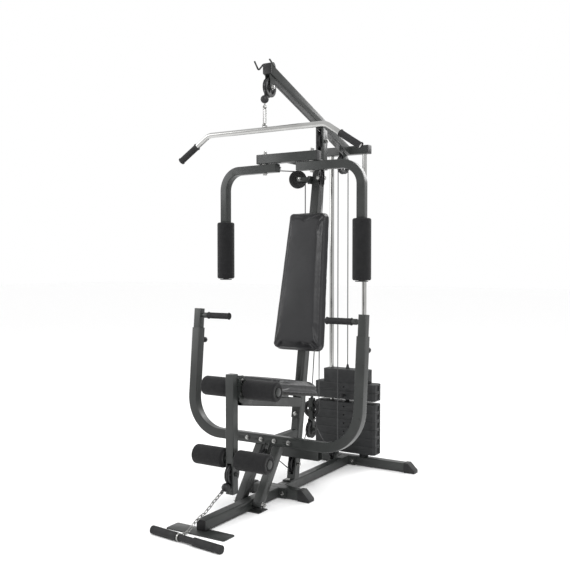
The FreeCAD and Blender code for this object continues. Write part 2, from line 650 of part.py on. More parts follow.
def build_seat():
    half = TUBE / 2
    beam = tube(SEAT_TIP, SEAT_FACE - BACK * PLATE, hint=X_AXIS)
    block = Part.makeBox(TUBE, 150, PLATE, V(-half, -75, 0))
    flange = put(block, SEAT_FACE - BACK * PLATE, BACK, X_AXIS)
    outline = [(-242, 520), (-242, 600), (-233, 612), (-212, 612), (-172, 576), (-158, 545), (-150, 500),
               (-166, 479), (-206, 484), (-232, 500)]
    cheeks = []
    for sign in (-1, 1):
        low, high = sorted((sign * half, sign * (half + PLATE)))
        cheeks.append(plate(outline, "x", low, high))
    rail = Part.makeBox(240, 60, SEAT_RISE, V(70, -30, 0))
    bracket = rail.cut(Part.makeBox(240, 50, SEAT_RISE - 5, V(70, -25, 0)))
    tabs = []
    for x in (80, 250):
        tabs.append(Part.makeBox(50, 220, 5, V(x, -110, SEAT_RISE - 5)))
    holder = seat_frame_place(fuse(bracket, *tabs), SEAT_SETBACK, half)
    solids["seat_beam"] = fuse(beam, flange, *cheeks, holder)
    length, width, thick = SEAT_PAD
    board = Part.makeBox(length - 16, width - 16, BOARD, V(8, -(width - 16) / 2, 0))
    seat_board = seat_frame_place(board, SEAT_SETBACK, half + SEAT_RISE)
    cushion = rounded_block(length, width, thick, 38, 16)
    solids["seat_pad"] = seat_frame_place(cushion, SEAT_SETBACK, half + SEAT_RISE + BOARD)
    near = half + STRAP
    solids["pad_boards"] = group(seat_board, back_panel(near, near + BOARD, 8, 22))
    slab = back_panel(near + BOARD, near + BOARD + BACK_THICK, 0, 30)
    front = [e for e in slab.Edges if all(abs((v.Point - on_upright(BEAM_TOP)).dot(BACK) +
                                              near + BOARD + BACK_THICK) < 0.01 for v in e.Vertexes)]
    solids["back_pad"] = slab.makeFillet(14, front)
    solids["knee_axle"] = roller_axle(KNEE_AXLE)
    solids["knee_foams"] = group(*both_sides(lambda: foam(KNEE_AXLE, *FOAM_X)))
    reach = half + PLATE
    bolts = [pin(V(-reach, HINGE.y, HINGE.z), V(reach, HINGE.y, HINGE.z), 6.0, 9.5)]
    bolts.append(pin(V(-reach, LEG_STOP.y, LEG_STOP.z), V(reach, LEG_STOP.y, LEG_STOP.z), 5.0, 8.0))
    stop = ring(V(-half, LEG_STOP.y, LEG_STOP.z), V(half, LEG_STOP.y, LEG_STOP.z), STOP_R, 5.0 + FIT)
    for s in (-57, 57):
        start = SEAT_FACE - BACK * PLATE + UP * s
        bolts.append(bolt(start, start + BACK * (PLATE + TUBE)))
    return bolts, stop


def press_rests():
    """Stop arm that the press arm leans on, and the cross bar below it, both on the upright."""
    arm = closed_tube(V(0, STOP_ARM_Y, STOP_ARM_Z), V(0, on_upright(STOP_ARM_Z).y, STOP_ARM_Z), INNER_TUBE, WALL)
    mast = bar(on_upright(50), on_upright(700), TUBE)
    root = on_upright(CROSS_BAR_Z)
    y = root.y - TUBE / 2 - CROSS_BAR_STANDOFF
    rest = tube(V(-CROSS_BAR_HALF, y, CROSS_BAR_Z), V(CROSS_BAR_HALF, y, CROSS_BAR_Z))
    hanger = box((-18, 18), (y + TUBE / 2, root.y), (CROSS_BAR_Z - 16, CROSS_BAR_Z + 16))
    return arm.cut(mast), fuse(rest, hanger.cut(mast))


def press_stop_pad():
    """Rubber buffer on the front of the stop arm, square to the leaning press arm."""
    start = on_arm(0, -8) + LEAN_BACK * (TUBE / 2 + 0.5)
    return rod(start, start + LEAN_BACK * 40, 17.0).common(box((-40, 40), (0, STOP_ARM_Y), (200, 340)))


# ---------------------------------------------------------------- leg developer
def build_leg():
    half = LEG_TUBE / 2
    body = closed_tube(V(0, LEG_Y, LEG_Z[0]), V(0, LEG_Y, LEG_Z[1]), LEG_TUBE, WALL)
    body = body.cut(slot(LEG_PULLEY, Z_AXIS, 2 * PULLEY_R + 6))
    knuckle = ring(V(-half, HINGE.y, HINGE.z), V(half, HINGE.y, HINGE.z), 11.0, 6.0 + FIT)
    web = box((-half, half), (LEG_Y + half, HINGE.y), (HINGE.z - 11, HINGE.z + 11))
    web = web.cut(rod(V(-half, HINGE.y, HINGE.z), V(half, HINGE.y, HINGE.z), 9.0))
    solids["leg_lever"] = fuse(body, knuckle, web)
    solids["shin_axle"] = group(roller_axle(SHIN_AXLE), axle(LEG_PULLEY, X_AXIS, half))
    solids["shin_foams"] = group(*both_sides(lambda: foam(SHIN_AXLE, *FOAM_X)))
    solids["leg_pulley"] = pulley(LEG_PULLEY, X_AXIS)


# ---------------------------------------------------------------- press arm
LEAN = V(0, math.sin(math.radians(ARM_LEAN)), math.cos(math.radians(ARM_LEAN)))
LEAN_BACK = V(0, LEAN.z, -LEAN.y)


def on_arm(x, s):
    return ARM_BAR + X_AXIS * x + LEAN * s


def build_press():
    half = TUBE / 2
    loop = [on_arm(-ARM_X, ARM_TOP), on_arm(-ARM_X, 0), on_arm(ARM_X, 0), on_arm(ARM_X, ARM_TOP)]
    yoke = bent(loop, ARM_BEND, square_section(TUBE, ARM_WALL), LEAN_BACK)
    cross = bar(on_arm(-200, 0), on_arm(200, 0), TUBE, LEAN_BACK)
    above = Part.makeBox(400, 400, 300, V(-200, -200, 0))
    above = put(above, on_arm(0, -half), LEAN, X_AXIS)
    legs = []
    for sign in (-1, 1):
        foot = ARM_PIVOT + X_AXIS * (sign * YOKE_LEG_X)
        head = on_arm(sign * YOKE_LEG_X, -half)
        sleeve_ends = [foot - X_AXIS * (YOKE_LEG / 2), foot + X_AXIS * (YOKE_LEG / 2)]
        leg = tube(foot, head + (head - foot) * 0.2, YOKE_LEG, WALL).cut(rod(*sleeve_ends, 16.0))
        legs.append(leg.cut(above))
        legs.append(ring(*sleeve_ends, 17.0, 6.0 + FIT))
    drop = ARM_BAR.z - half - PRESS_PULLEY.z
    cheeks = ears(PRESS_PULLEY, X_AXIS, [(16, drop + 12), (54, drop + 12), (12, -10), (-12, -10), (-12, 10)])
    cheeks = [one.cut(cross) for one in cheeks]
    bosses = []
    for sign in (-1, 1):
        root = on_arm(sign * ARM_X, KNOB_S) + LEAN_BACK * half
        bosses.append(ring(root, root + LEAN_BACK * 14, 11.0, PIN_R + FIT))
        holes_start = root - LEAN_BACK * (ARM_WALL + 1)
        yoke = yoke.cut(rod(holes_start, root + LEAN_BACK, PIN_R + FIT))
    solids["press_yoke"] = fuse(yoke, *legs, *cheeks, *bosses)
    bolts = [axle(PRESS_PULLEY, X_AXIS)]
    for x in PRESS_BOLT_X:
        for sign in (-1, 1):
            start = on_arm(sign * x, 0) - LEAN_BACK * half
            bolts.append(bolt(start, start + LEAN_BACK * TUBE, 5.0))
    solids["press_bolts"] = group(*bolts)
    solids["press_pulley"] = pulley(PRESS_PULLEY, X_AXIS, PRESS_PITCH_R)
    for side, sign in (("left", -1), ("right", 1)):
        solids["press_slide_" + side] = press_slide(sign)
        face = sign * (ARM_X - INNER_TUBE / 2)
        far = sign * HANDLE_END_X
        inner = on_arm(far, HANDLE_S)
        grip = ring(inner - X_AXIS * (sign * 3), on_arm(far + sign * GRIP_LENGTH, HANDLE_S), 15.5, 11.0)
        solids["press_grip_" + side] = grip
        solids["press_knob_" + side] = press_knob(sign)


def press_slide(sign):
    """Telescopic tube, with the handle bar and its ferrule."""
    body = closed_tube(on_arm(sign * ARM_X, INNER_LOW), on_arm(sign * ARM_X, INNER_TOP), INNER_TUBE, WALL, LEAN_BACK)
    face = ARM_X - INNER_TUBE / 2
    handle = rod(on_arm(sign * HANDLE_END_X, HANDLE_S), on_arm(sign * (face + 1), HANDLE_S), 11.0)
    collar_from = HANDLE_END_X + GRIP_LENGTH
    collar = rod(on_arm(sign * collar_from, HANDLE_S), on_arm(sign * (collar_from + 24), HANDLE_S), 13.5)
    return fuse(body, handle, collar)


def press_knob(sign):
    """Clamp screw whose tip bears on the telescopic tube."""
    root = on_arm(sign * ARM_X, KNOB_S) + LEAN_BACK * (INNER_TUBE / 2 + 0.1)
    shoulder = on_arm(sign * ARM_X, KNOB_S) + LEAN_BACK * (TUBE / 2 + 14.5)
    shank = rod(root, shoulder + LEAN_BACK, PIN_R)
    neck = rod(shoulder, shoulder + LEAN_BACK * 8, 8.0)
    head = rod(shoulder + LEAN_BACK * 8, shoulder + LEAN_BACK * 24, 13.5)
    rims = [e for e in head.Edges if abs(e.Length - 2 * math.pi * 13.5) < 0.5]
    return fuse(shank, neck, head.makeFillet(3, rims))


# ---------------------------------------------------------------- butterfly arms and their pulleys
def fly_heading():
    return V(math.cos(math.radians(CAM_HEADING)), math.sin(math.radians(CAM_HEADING)), 0)


def cam_start():
    """Where the left cable leaves its cam, and the vertical plane of the left pulley."""
    out = V(-fly_heading().y, fly_heading().x, 0)
    return V(-FLY_X, CROSS_BEAM_Y, FLY_PULLEY_Z + PITCH_R) + out * CAM_PITCH


def build_fly_left():
    pivot = V(-FLY_X, CROSS_BEAM_Y, FLY_Z)
    foam_low, foam_high = FLY_FOAM_Z
    corner = V(-FLY_X - FLY_REACH, CROSS_BEAM_Y, FLY_Z)
    arm = bent([V(-FLY_X + FLY_INNER, CROSS_BEAM_Y, FLY_Z), corner, V(corner.x, corner.y, foam_high)],
               FLY_BEND, square_section(FLY_TUBE, WALL), Y_AXIS)
    end = V(-FLY_X + FLY_INNER, CROSS_BEAM_Y, FLY_Z)
    plug = put(square_section(FLY_TUBE, 0), end, X_AXIS).extrude(X_AXIS * 3)
    core = rod(V(corner.x, corner.y, foam_low - 2), V(corner.x, corner.y, foam_high + 40), 14.0)
    washer = rod(V(corner.x, corner.y, foam_low - 6), V(corner.x, corner.y, foam_low - 2), 30.0)
    floor = put(square_section(FLY_TUBE, 0), V(corner.x, corner.y, foam_high), Z_AXIS).extrude(Z_AXIS * 3)
    core = core.cut(rod(V(corner.x, corner.y, foam_high + 3), V(corner.x, corner.y, foam_high + 90), 14.0))
    sleeve = ring(pivot - Z_AXIS * (FLY_TUBE / 2), pivot + Z_AXIS * (FLY_TUBE / 2), 11.0, 6.0 + FIT)
    drilled = arm.cut(rod(pivot - Z_AXIS * 30, pivot + Z_AXIS * 30, 10.0))
    level = V(pivot.x, pivot.y, FLY_PULLEY_Z + PITCH_R)
    cam = rod(level - Z_AXIS * (CAM_THICK / 2), level + Z_AXIS * (CAM_THICK / 2), CAM_PITCH + 3)
    cam = cam.common(box((-400, 0), (CROSS_BEAM_Y, 600), (1400, 1700)))
    block = bar(pivot - X_AXIS * 200, pivot + X_AXIS * 200, FLY_TUBE, Y_AXIS)
    groove = ring(level - Z_AXIS * 3.2, level + Z_AXIS * 3.2, CAM_PITCH + 20, CAM_PITCH - CABLE_R - 0.3)
    cam = cam.cut(block).cut(groove)
    sleeve_foam = ring(V(corner.x, corner.y, foam_low), V(corner.x, corner.y, foam_high), FOAM_R, 14.0)
    rims = [e for e in sleeve_foam.Edges if abs(e.Length - 2 * math.pi * FOAM_R) < 0.5]
    arm = fuse(drilled, sleeve, plug, floor, core, washer, cam)
    arm = swing(arm, pivot, FLY_REST * -1)
    cushion = swing(sleeve_foam.makeFillet(5, rims), pivot, FLY_REST * -1)
    return arm, cushion


def swing(shape, pivot, degrees):
    moved = shape.copy()
    moved.rotate(pivot, Z_AXIS, degrees)
    return moved


def build_fly():
    arm, cushion = build_fly_left()
    solids["fly_arm_left"] = arm
    solids["fly_arm_right"] = mirror(arm)
    solids["fly_foam_left"] = cushion
    solids["fly_foam_right"] = mirror(cushion)
    heading = fly_heading()
    centre = cam_start() + heading * CAM_RUN
    centre.z = FLY_PULLEY_Z
    axis = heading.cross(Z_AXIS)
    wheel = pulley(centre, axis, windows=0)
    solids["fly_pulley_left"] = wheel
    solids["fly_pulley_right"] = mirror(wheel)
    cheeks = ears(centre, axis, [(-14, -12), (54, -14), (54, 14), (-14, 12)])
    side = Z_AXIS.cross(axis).normalize()
    if side.dot(heading) < 0:
        cheeks = ears(centre, axis, [(14, -12), (-54, -14), (-54, 14), (14, 12)])
    gap = PULLEY_W / 2 + 1 + SIDE_PLATE
    back_face = Part.makeBox(2 * gap, 28, 4, V(-gap, -14, 0))
    web = put(back_face, centre + heading * 50, heading, axis)
    knuckle = rod(centre + heading * 60 - Z_AXIS * 20, centre + heading * 60 + Z_AXIS * 20, 7.0)
    mast = bar(on_upright(1300), on_upright(1570), TUBE)
    face_y = on_upright(FLY_PULLEY_Z).y
    tab = box((-TUBE / 2 - 5, -TUBE / 2), (centre.y + heading.y * 60 - 4, face_y + 18),
              (FLY_PULLEY_Z - 20, FLY_PULLEY_Z + 20))
    bridge = rod(centre + heading * 54, centre + heading * 60, 7.0)
    fork = fuse(*cheeks, web, bridge, knuckle, tab).cut(mast)
    axle_bolt = axle(centre, axis)
    fork = fork.cut(rod(*holes.pop()))
    solids["fly_brackets"] = group(fork, mirror(fork))
    bolts = [axle_bolt, mirror(axle_bolt)]
    for sign in (-1, 1):
        low = V(sign * FLY_X, CROSS_BEAM_Y, FLY_Z - FLY_TUBE / 2 - 1)
        high = V(sign * FLY_X, CROSS_BEAM_Y, TOP_HIGH)
        bolts.append(bolt(low, high, 6.0, gap=FIT))
        gap_low = V(sign * FLY_X, CROSS_BEAM_Y, FLY_Z + FLY_TUBE / 2 + 0.3)
        bolts.append(ring(gap_low, V(sign * FLY_X, CROSS_BEAM_Y, TOP_LOW), 15.0, 6.0 + 2 * FIT))
    return bolts


# ---------------------------------------------------------------- weight stack
def weight_plate(low, half_x, height, notch=True):
    """Plate with clipped corners, a lug notch in each end, and holes for rods, stem and pin."""
    clip = 12.0
    y0 = REAR_FOOT_Y - PLATE_HALF_Y
    y1 = REAR_FOOT_Y + PLATE_HALF_Y
    outline = [(-half_x + clip, y0), (half_x - clip, y0), (half_x, y0 + clip), (half_x, y1 - clip),
               (half_x - clip, y1), (-half_x + clip, y1), (-half_x, y1 - clip), (-half_x, y0 + clip)]
    body = plate(outline, "z", low, low + height)
    cuts = []
    for x in (-ROD_X, ROD_X):
        cuts.append(rod(V(x, REAR_FOOT_Y, low - 1), V(x, REAR_FOOT_Y, low + height + 1), ROD_R + 0.1))
    cuts.append(rod(V(0, REAR_FOOT_Y, low - 1), V(0, REAR_FOOT_Y, low + height + 1), STEM_R + 0.1))
    if notch:
        for sign in (-1, 1):
            xs = sorted((sign * (half_x - 5), sign * (half_x + 5)))
            cuts.append(box(xs, (REAR_FOOT_Y - 13, REAR_FOOT_Y + 13), (low + 8, low + height - 8)))
        middle = low + height / 2
        cuts.append(rod(V(0, y0 - 1, middle), V(0, REAR_FOOT_Y, middle), PIN_R + 0.1))
    return body.cut(cuts[0].multiFuse(cuts[1:]))


def build_stack():
    height = PLATE_PITCH - PLATE_GAP
    fixed = [weight_plate(STACK_Z + k * PLATE_PITCH, PLATE_HALF_X, height) for k in range(FIXED_PLATES)]
    solids["stack_plates"] = group(*fixed)
    base = STACK_Z + FIXED_PLATES * PLATE_PITCH - PLATE_GAP + LIFT_GAP
    lifted = [weight_plate(base + k * PLATE_PITCH, PLATE_HALF_X, height) for k in range(LIFTED_PLATES)]
    solids["lifted_plates"] = group(*lifted)
    head_low = base + LIFTED_PLATES * PLATE_PITCH
    head_high = head_low + HEAD_HEIGHT
    head = weight_plate(head_low, HEAD_HALF_X, HEAD_HEIGHT, notch=False)
    plug = rod(V(0, REAR_FOOT_Y, head_low), V(0, REAR_FOOT_Y, head_high), STEM_R + 0.1)
    cone = Part.makeCone(11, 5, 25, V(0, REAR_FOOT_Y, head_high))
    stem = rod(V(0, REAR_FOOT_Y, STACK_Z + 4), V(0, REAR_FOOT_Y, head_low), STEM_R)
    pin_z = base + height / 2
    for k in range(-FIXED_PLATES, LIFTED_PLATES):
        z = pin_z + k * PLATE_PITCH
        if z > STACK_Z + 12:
            hole = rod(V(0, REAR_FOOT_Y - 20, z), V(0, REAR_FOOT_Y + 20, z), PIN_R + 0.1)
            stem = stem.cut(hole)
    solids["stack_head"] = fuse(head, plug, cone, stem)
    face = REAR_FOOT_Y - PLATE_HALF_Y
    shank = rod(V(0, face - 6, pin_z), V(0, REAR_FOOT_Y + STEM_R - 3, pin_z), PIN_R)
    grip = rod(V(0, face - 30, pin_z), V(0, face - 2, pin_z), 8.0)
    solids["selector_pin"] = fuse(shank, grip)
    return V(0, REAR_FOOT_Y, head_high + 25)


# ---------------------------------------------------------------- floating pulley block
def build_float():
    up = FLOAT_UPPER
    low = FLOAT_LOWER
    gap = PULLEY_W / 2 + 1
    outer = gap + SIDE_PLATE
    top = up.z + PULLEY_R + 10
    block = box((-outer, outer), (up.y - outer, up.y + outer), (FLOAT_CROSS_Z - 4, FLOAT_CROSS_Z + 2))
    lid = box((-12, 12), (up.y - outer, up.y + outer), (top - 6, top))
    lugs = []
    for sign in (-1, 1):
        ys = sorted((up.y + sign * gap, up.y + sign * outer))
        lugs.append(box((-12, 12), ys, (FLOAT_CROSS_Z, top)))
        xs = sorted((sign * gap, sign * outer))
        lugs.append(box(xs, (low.y - 12, low.y + 12), (low.z - 16, FLOAT_CROSS_Z)))
    eye = ring(V(-3, up.y, top + 6), V(3, up.y, top + 6), 9.0, 4.0)
    ferrule = rod(V(0, up.y, top + 13), V(0, up.y, top + 30), 4.4)
    bolts = [axle(up, Y_AXIS), axle(low, X_AXIS)]
    straps = fuse(block, lid, *lugs, eye, ferrule)
    straps = straps.cut(rod(*holes.pop())).cut(rod(*holes.pop()))
    solids["float_block"] = group(straps, *bolts)
    solids["float_upper_pulley"] = pulley(up, Y_AXIS)
    solids["float_lower_pulley"] = pulley(low, X_AXIS)
    return V(0, up.y, top + 30)


# ---------------------------------------------------------------- lat bar and curl bar
def stadium_link(centre, along, side, length, width, wire):
    """Closed oval link of round wire, centred on a point, its long way along a direction."""
    along = V(along).normalize()
    side = V(side).normalize()
    reach = length / 2 - width / 2
    bow = width / 2 - wire
    normal = along.cross(side)
    section = round_section(wire)
    pieces = []
    for sign in (-1, 1):
        start = centre - along * reach + side * (sign * bow)
        pieces.append(put(section, start, along).extrude(along * (2 * reach)))
        hub = centre + along * (sign * reach)
        arc_from = hub + side * bow
        spin = 180 * sign
        pieces.append(put(section, arc_from, along).revolve(hub, V(0, 0, 0) - normal, spin))
    return fuse(*pieces)


def build_lat():
    end_x, end_z = LAT_END
    points = [V(-end_x, LAT_Y, end_z), V(-LAT_BEND_X, LAT_Y, LAT_Z), V(LAT_BEND_X, LAT_Y, LAT_Z),
              V(end_x, LAT_Y, end_z)]
    shaft = bent(points, 60.0, round_section(LAT_R))
    slope = (points[3] - points[2]).normalize()
    eye = ring(V(0, LAT_Y - 4, LAT_Z + LAT_R + 6), V(0, LAT_Y + 4, LAT_Z + LAT_R + 6), 12.0, EYE_BORE)
    solids["lat_bar"] = fuse(shaft, eye.cut(rod(V(-40, LAT_Y, LAT_Z), V(40, LAT_Y, LAT_Z), LAT_R)))
    grip = rod(points[3] - slope * LAT_GRIP, points[3] + slope * 4, LAT_GRIP_R)
    grip = grip.cut(rod(points[2], points[3], LAT_R))
    solids["lat_grips"] = group(grip, mirror(grip))
    ball = Part.makeSphere(BALL_R, V(0, LAT_Y, LAT_BALL_Z))
    ball = ball.cut(rod(V(0, LAT_Y, LAT_BALL_Z), V(0, LAT_Y, LAT_BALL_Z + 40), CABLE_R + 0.1))
    top = LAT_BALL_Z - BALL_R
    shank = rod(V(0, LAT_Y, top - 8), V(0, LAT_Y, top + 3), 4.5)
    eyelet = ring(V(0, LAT_Y - 3, top - 16), V(0, LAT_Y + 3, top - 16), 10.0, EYE_BORE)
    slack = EYE_BORE - LINK_WIRE - LINK_BOW
    low = LAT_Z + LAT_R + 6 + slack - LINK_WIRE
    high = top - 16 - slack + LINK_WIRE
    middle = V(0, LAT_Y, (low + high) / 2)
    link = stadium_link(middle, Z_AXIS, Y_AXIS, high - low, 26, LINK_WIRE)
    solids["lat_link"] = group(fuse(ball, shank, eyelet), link)


CHAIN_BALL = V(0, -302, 141)
CHAIN_PATH = [V(0, -360, 113), V(0, -391, 100), V(0, -418, 84), V(0, -448, 70), V(-2, -480, 62), V(-8, -505, 46),
              V(-11, -527, 27), V(-13, -550, 15), V(-13, -566, 15)]
CHAIN_WIRE = 2.0
CHAIN_WIDTH = 15.0
CHAIN_LINKS = 13
LINK_SLACK = 1.0


def along_path(points, distance):
    """Point at a distance along a chain of straight stretches."""
    for a, b in zip(points, points[1:]):
        step = (b - a).Length
        if distance <= step:
            return a + (b - a) * (distance / step)
        distance -= step
    return points[-1]


def eyelet(hub, side, outer, bore, half_thick):
    return ring(hub - side * half_thick, hub + side * half_thick, outer, bore)


def build_curl():
    run = (CHAIN_PATH[0] - CHAIN_BALL).normalize()
    hub = CHAIN_BALL + run * (BALL_R + 12)
    shank = rod(CHAIN_BALL + run * (BALL_R - 2), CHAIN_BALL + run * (BALL_R + 6), 4.5)
    ball = Part.makeSphere(BALL_R, CHAIN_BALL)
    solids["leg_ball"] = fuse(ball, shank, eyelet(hub, X_AXIS, 9.0, 5.0, 2.4))

    yaw = FreeCAD.Rotation(Z_AXIS, CURL_YAW)
    along = yaw.multVec(X_AXIS)
    clip_at = CURL_CENTRE - along * (CURL_CORE - 9)
    eye_at = clip_at + V(0, 27, 4)
    path = [hub + run * 5] + CHAIN_PATH + [eye_at + V(0, 5, 0)]
    length = sum((b - a).Length for a, b in zip(path, path[1:]))
    knots = [along_path(path, length * k / CHAIN_LINKS) for k in range(CHAIN_LINKS + 1)]
    links = []
    for k, (a, b) in enumerate(zip(knots, knots[1:])):
        run = (b - a).normalize()
        flat = run.cross(X_AXIS) if k % 2 else X_AXIS
        outer = (b - a).Length + 4 * CHAIN_WIRE + LINK_SLACK
        links.append(stadium_link((a + b) * 0.5, run, flat, outer, CHAIN_WIDTH, CHAIN_WIRE))
    print("chain pitch %.2f" % (length / CHAIN_LINKS))
    holder = ring(clip_at - along * 4, clip_at + along * 4, CURL_R - 0.5, CURL_CORE_R)
    lug = eyelet(eye_at, X_AXIS, 9.0, 5.0, 2.4)
    neck = box((clip_at.x - 2.4, clip_at.x + 2.4), (clip_at.y + CURL_CORE_R + 1, eye_at.y - 6),
               (CURL_CENTRE.z, CURL_CENTRE.z + 7))
    solids["curl_chain"] = group(*links, fuse(holder, neck, lug))
    core = rod(CURL_CENTRE - along * (CURL_HALF - 2), CURL_CENTRE + along * (CURL_HALF - 2), CURL_CORE_R)
    grips = []
    for sign in (-1, 1):
        near = CURL_CENTRE + along * (sign * CURL_CORE)
        far = CURL_CENTRE + along * (sign * CURL_HALF)
        grips.append(rod(near, far, CURL_R))
    solids["curl_bar"] = fuse(core, *grips)


# ---------------------------------------------------------------- cables
def build_cables(stack_top, block_top):
    lat = [station(V(0, LAT_Y, LAT_BALL_Z + 10)), station(TIP_PULLEY, PITCH_R, -1),
           station(RISER_PULLEY, PITCH_R, -1), station(block_top)]
    spans, arcs = flat_route(lat)
    solids["cable_lat_front"] = rope_line(*spans[0])
    lat_top = fuse(rope_arc(*arcs[0]), rope_line(*spans[1]), rope_arc(*arcs[1]))
    lat_back = rope_line(*spans[2])

    ball = CHAIN_BALL + V(0, 6, BALL_R + 2)
    low = [station(ball), station(LEG_PULLEY, PITCH_R, -1), station(PRESS_PULLEY, PRESS_PITCH_R, -1),
           station(UPRIGHT_PULLEY, PITCH_R, 1), station(FLOAT_LOWER, PITCH_R, -1),
           station(BASE_PULLEY, PITCH_R, 1), station(REAR_PULLEY, REAR_PITCH_R, -1)]
    low[-1] = (REAR_PULLEY.y, REAR_PULLEY.z, REAR_FOOT_Y - REAR_PULLEY.y, -1)
    spans, arcs = flat_route(low)
    front = [rope_line(*spans[0]), rope_arc(*arcs[0]), rope_line(*spans[1]), rope_arc(*arcs[1]),
             rope_line(*spans[2])]
    solids["cable_low_front"] = fuse(*front)
    shift = V(STRAND_X, 0, 0)
    under = rope_arc(*arcs[2])
    rise = (spans[3][1] - spans[3][0]).normalize()
    up = rope_line(spans[3][0] + rise * CABLE_GAP, spans[3][1])
    over = rope_arc(*arcs[3])
    slant_end = spans[4][1] + shift
    slant_end += (spans[4][0] - slant_end).normalize() * CABLE_GAP
    slant = rope_line(spans[4][0], slant_end)
    solids["cable_block_low"] = fuse(up, over, slant)
    base = rope_arc(*[p + shift for p in arcs[4]])
    strand = rope_line(spans[5][0] + shift, V(STRAND_X, spans[5][1].y, REAR_PULLEY.z))
    crown = REAR_PULLEY.z + REAR_PITCH_R
    rear_end = V(0, REAR_FOOT_Y, REAR_PULLEY.z)
    top = rope_arc(V(STRAND_X, spans[5][1].y, REAR_PULLEY.z), V(STRAND_X / 2, REAR_PULLEY.y, crown), rear_end)
    rear = fuse(base, strand, top)
    solids["cable_stack"] = rope_line(stack_top, rear_end)

    heading = fly_heading()
    start = cam_start()
    wheel = start + heading * CAM_RUN
    lines = belt([(0, start.z, 0, 1), (CAM_RUN, FLY_PULLEY_Z, PITCH_R, -1), (CAM_RUN + PITCH_R, 0, 0, 1)])
    along, level = lines[0][1]
    crest = V(start.x, start.y, level) + heading * along
    first = V(start.x, start.y, start.z)
    drop = V(start.x, start.y, FLY_PULLEY_Z) + heading * (CAM_RUN + PITCH_R)
    mid = wheel_middle((CAM_RUN, FLY_PULLEY_Z, PITCH_R, -1), lines[0][1], (CAM_RUN + PITCH_R, FLY_PULLEY_Z))
    mid_point = V(start.x, start.y, mid[1]) + heading * mid[0]
    foot = V(-PITCH_R, FLOAT_UPPER.y, FLOAT_UPPER.z)
    run_in = rope_line(first, crest)
    over_fly = fuse(run_in, rope_arc(crest, mid_point, drop))
    strand = rope_line(drop, foot)
    bottom = V(0, FLOAT_UPPER.y, FLOAT_UPPER.z - PITCH_R)
    bow = rope_arc(foot, bottom, V(PITCH_R, FLOAT_UPPER.y, FLOAT_UPPER.z))
    solids["cable_block_high"] = group(lat_back, fuse(strand, bow, mirror(strand)))
    solids["cable_fixed"] = group(lat_top, under, rear, over_fly, mirror(over_fly))


# ---------------------------------------------------------------- assembly
def drill():
    """Cut every bolt and pin hole out of the pieces that the shank passes through."""
    fasteners = ("frame_bolts", "press_bolts", "knee_axle", "shin_axle", "float_block")
    for start, end, radius in holes:
        cutter = rod(start, end, radius)
        for name, shape in solids.items():
            if name in fasteners or name.startswith("cable") or "pulley" in name:
                continue
            if not shape.BoundBox.intersect(cutter.BoundBox):
                continue
            if shape.distToShape(cutter)[0] > 0.01:
                continue
            solids[name] = shape.cut(cutter)


def main():
    bolts = build_base()
    bolts += build_mast()
    seat_bolts, leg_stop = build_seat()
    bolts += seat_bolts
    solids["rubber_stops"] = group(leg_stop, press_stop_pad(), *both_sides(bumper))
    build_leg()
    build_press()
    bolts += build_fly()
    solids["tip_pulley"] = pulley(TIP_PULLEY, X_AXIS)
    solids["riser_pulley"] = pulley(RISER_PULLEY, X_AXIS)
    solids["rear_pulley"] = pulley(REAR_PULLEY, rear_axis(), REAR_PITCH_R)
    solids["upright_pulley"] = pulley(UPRIGHT_PULLEY, X_AXIS)
    solids["base_pulley"] = pulley(BASE_PULLEY, X_AXIS)
    stack_top = build_stack()
    block_top = build_float()
    build_lat()
    build_curl()
    build_cables(stack_top, block_top)
    side = TUBE / 2
    pivot_pin = bolt(V(-YOKE_LEG_X - YOKE_LEG / 2 - 1, ARM_PIVOT.y, ARM_PIVOT.z),
                     V(YOKE_LEG_X + YOKE_LEG / 2 + 1, ARM_PIVOT.y, ARM_PIVOT.z), 6.0, gap=FIT)
    bolts.append(pivot_pin)
    for sign in (-1, 1):
        a = ARM_PIVOT + X_AXIS * (sign * side)
        b = ARM_PIVOT + X_AXIS * (sign * (YOKE_LEG_X - YOKE_LEG / 2 - 0.3))
        bolts.append(ring(a, b, 13.0, 6.0 + 2 * FIT))
    solids["frame_bolts"] = group(*bolts)
    drill()
    bounds = FreeCAD.BoundBox()
    for shape in solids.values():
        bounds.add(shape.BoundBox)
    shift = V(0, -(bounds.YMin + bounds.YMax) / 2, 0)
    os.makedirs("parts", exist_ok=True)
    for name, shape in solids.items():
        shape.translate(shift)
        shape.exportStep("parts/" + name + ".step")
    print("cord arc radii " + " ".join("%.1f" % r for r in cord_radii))
    for name in sorted(solids):
        if name.startswith("cable"):
            length = solids[name].Volume / (math.pi * CABLE_R ** 2)
            print("%s: %.0f mm of cord" % (name, length))
    print("pieces %d, moved %.3f mm in Y" % (len(solids), shift.y))
    print("size %.1f x %.1f x %.1f" % (bounds.XLength, bounds.YLength, bounds.ZLength))
    print("x %.2f..%.2f  z %.2f..%.2f" % (bounds.XMin, bounds.XMax, bounds.ZMin, bounds.ZMax))


main()
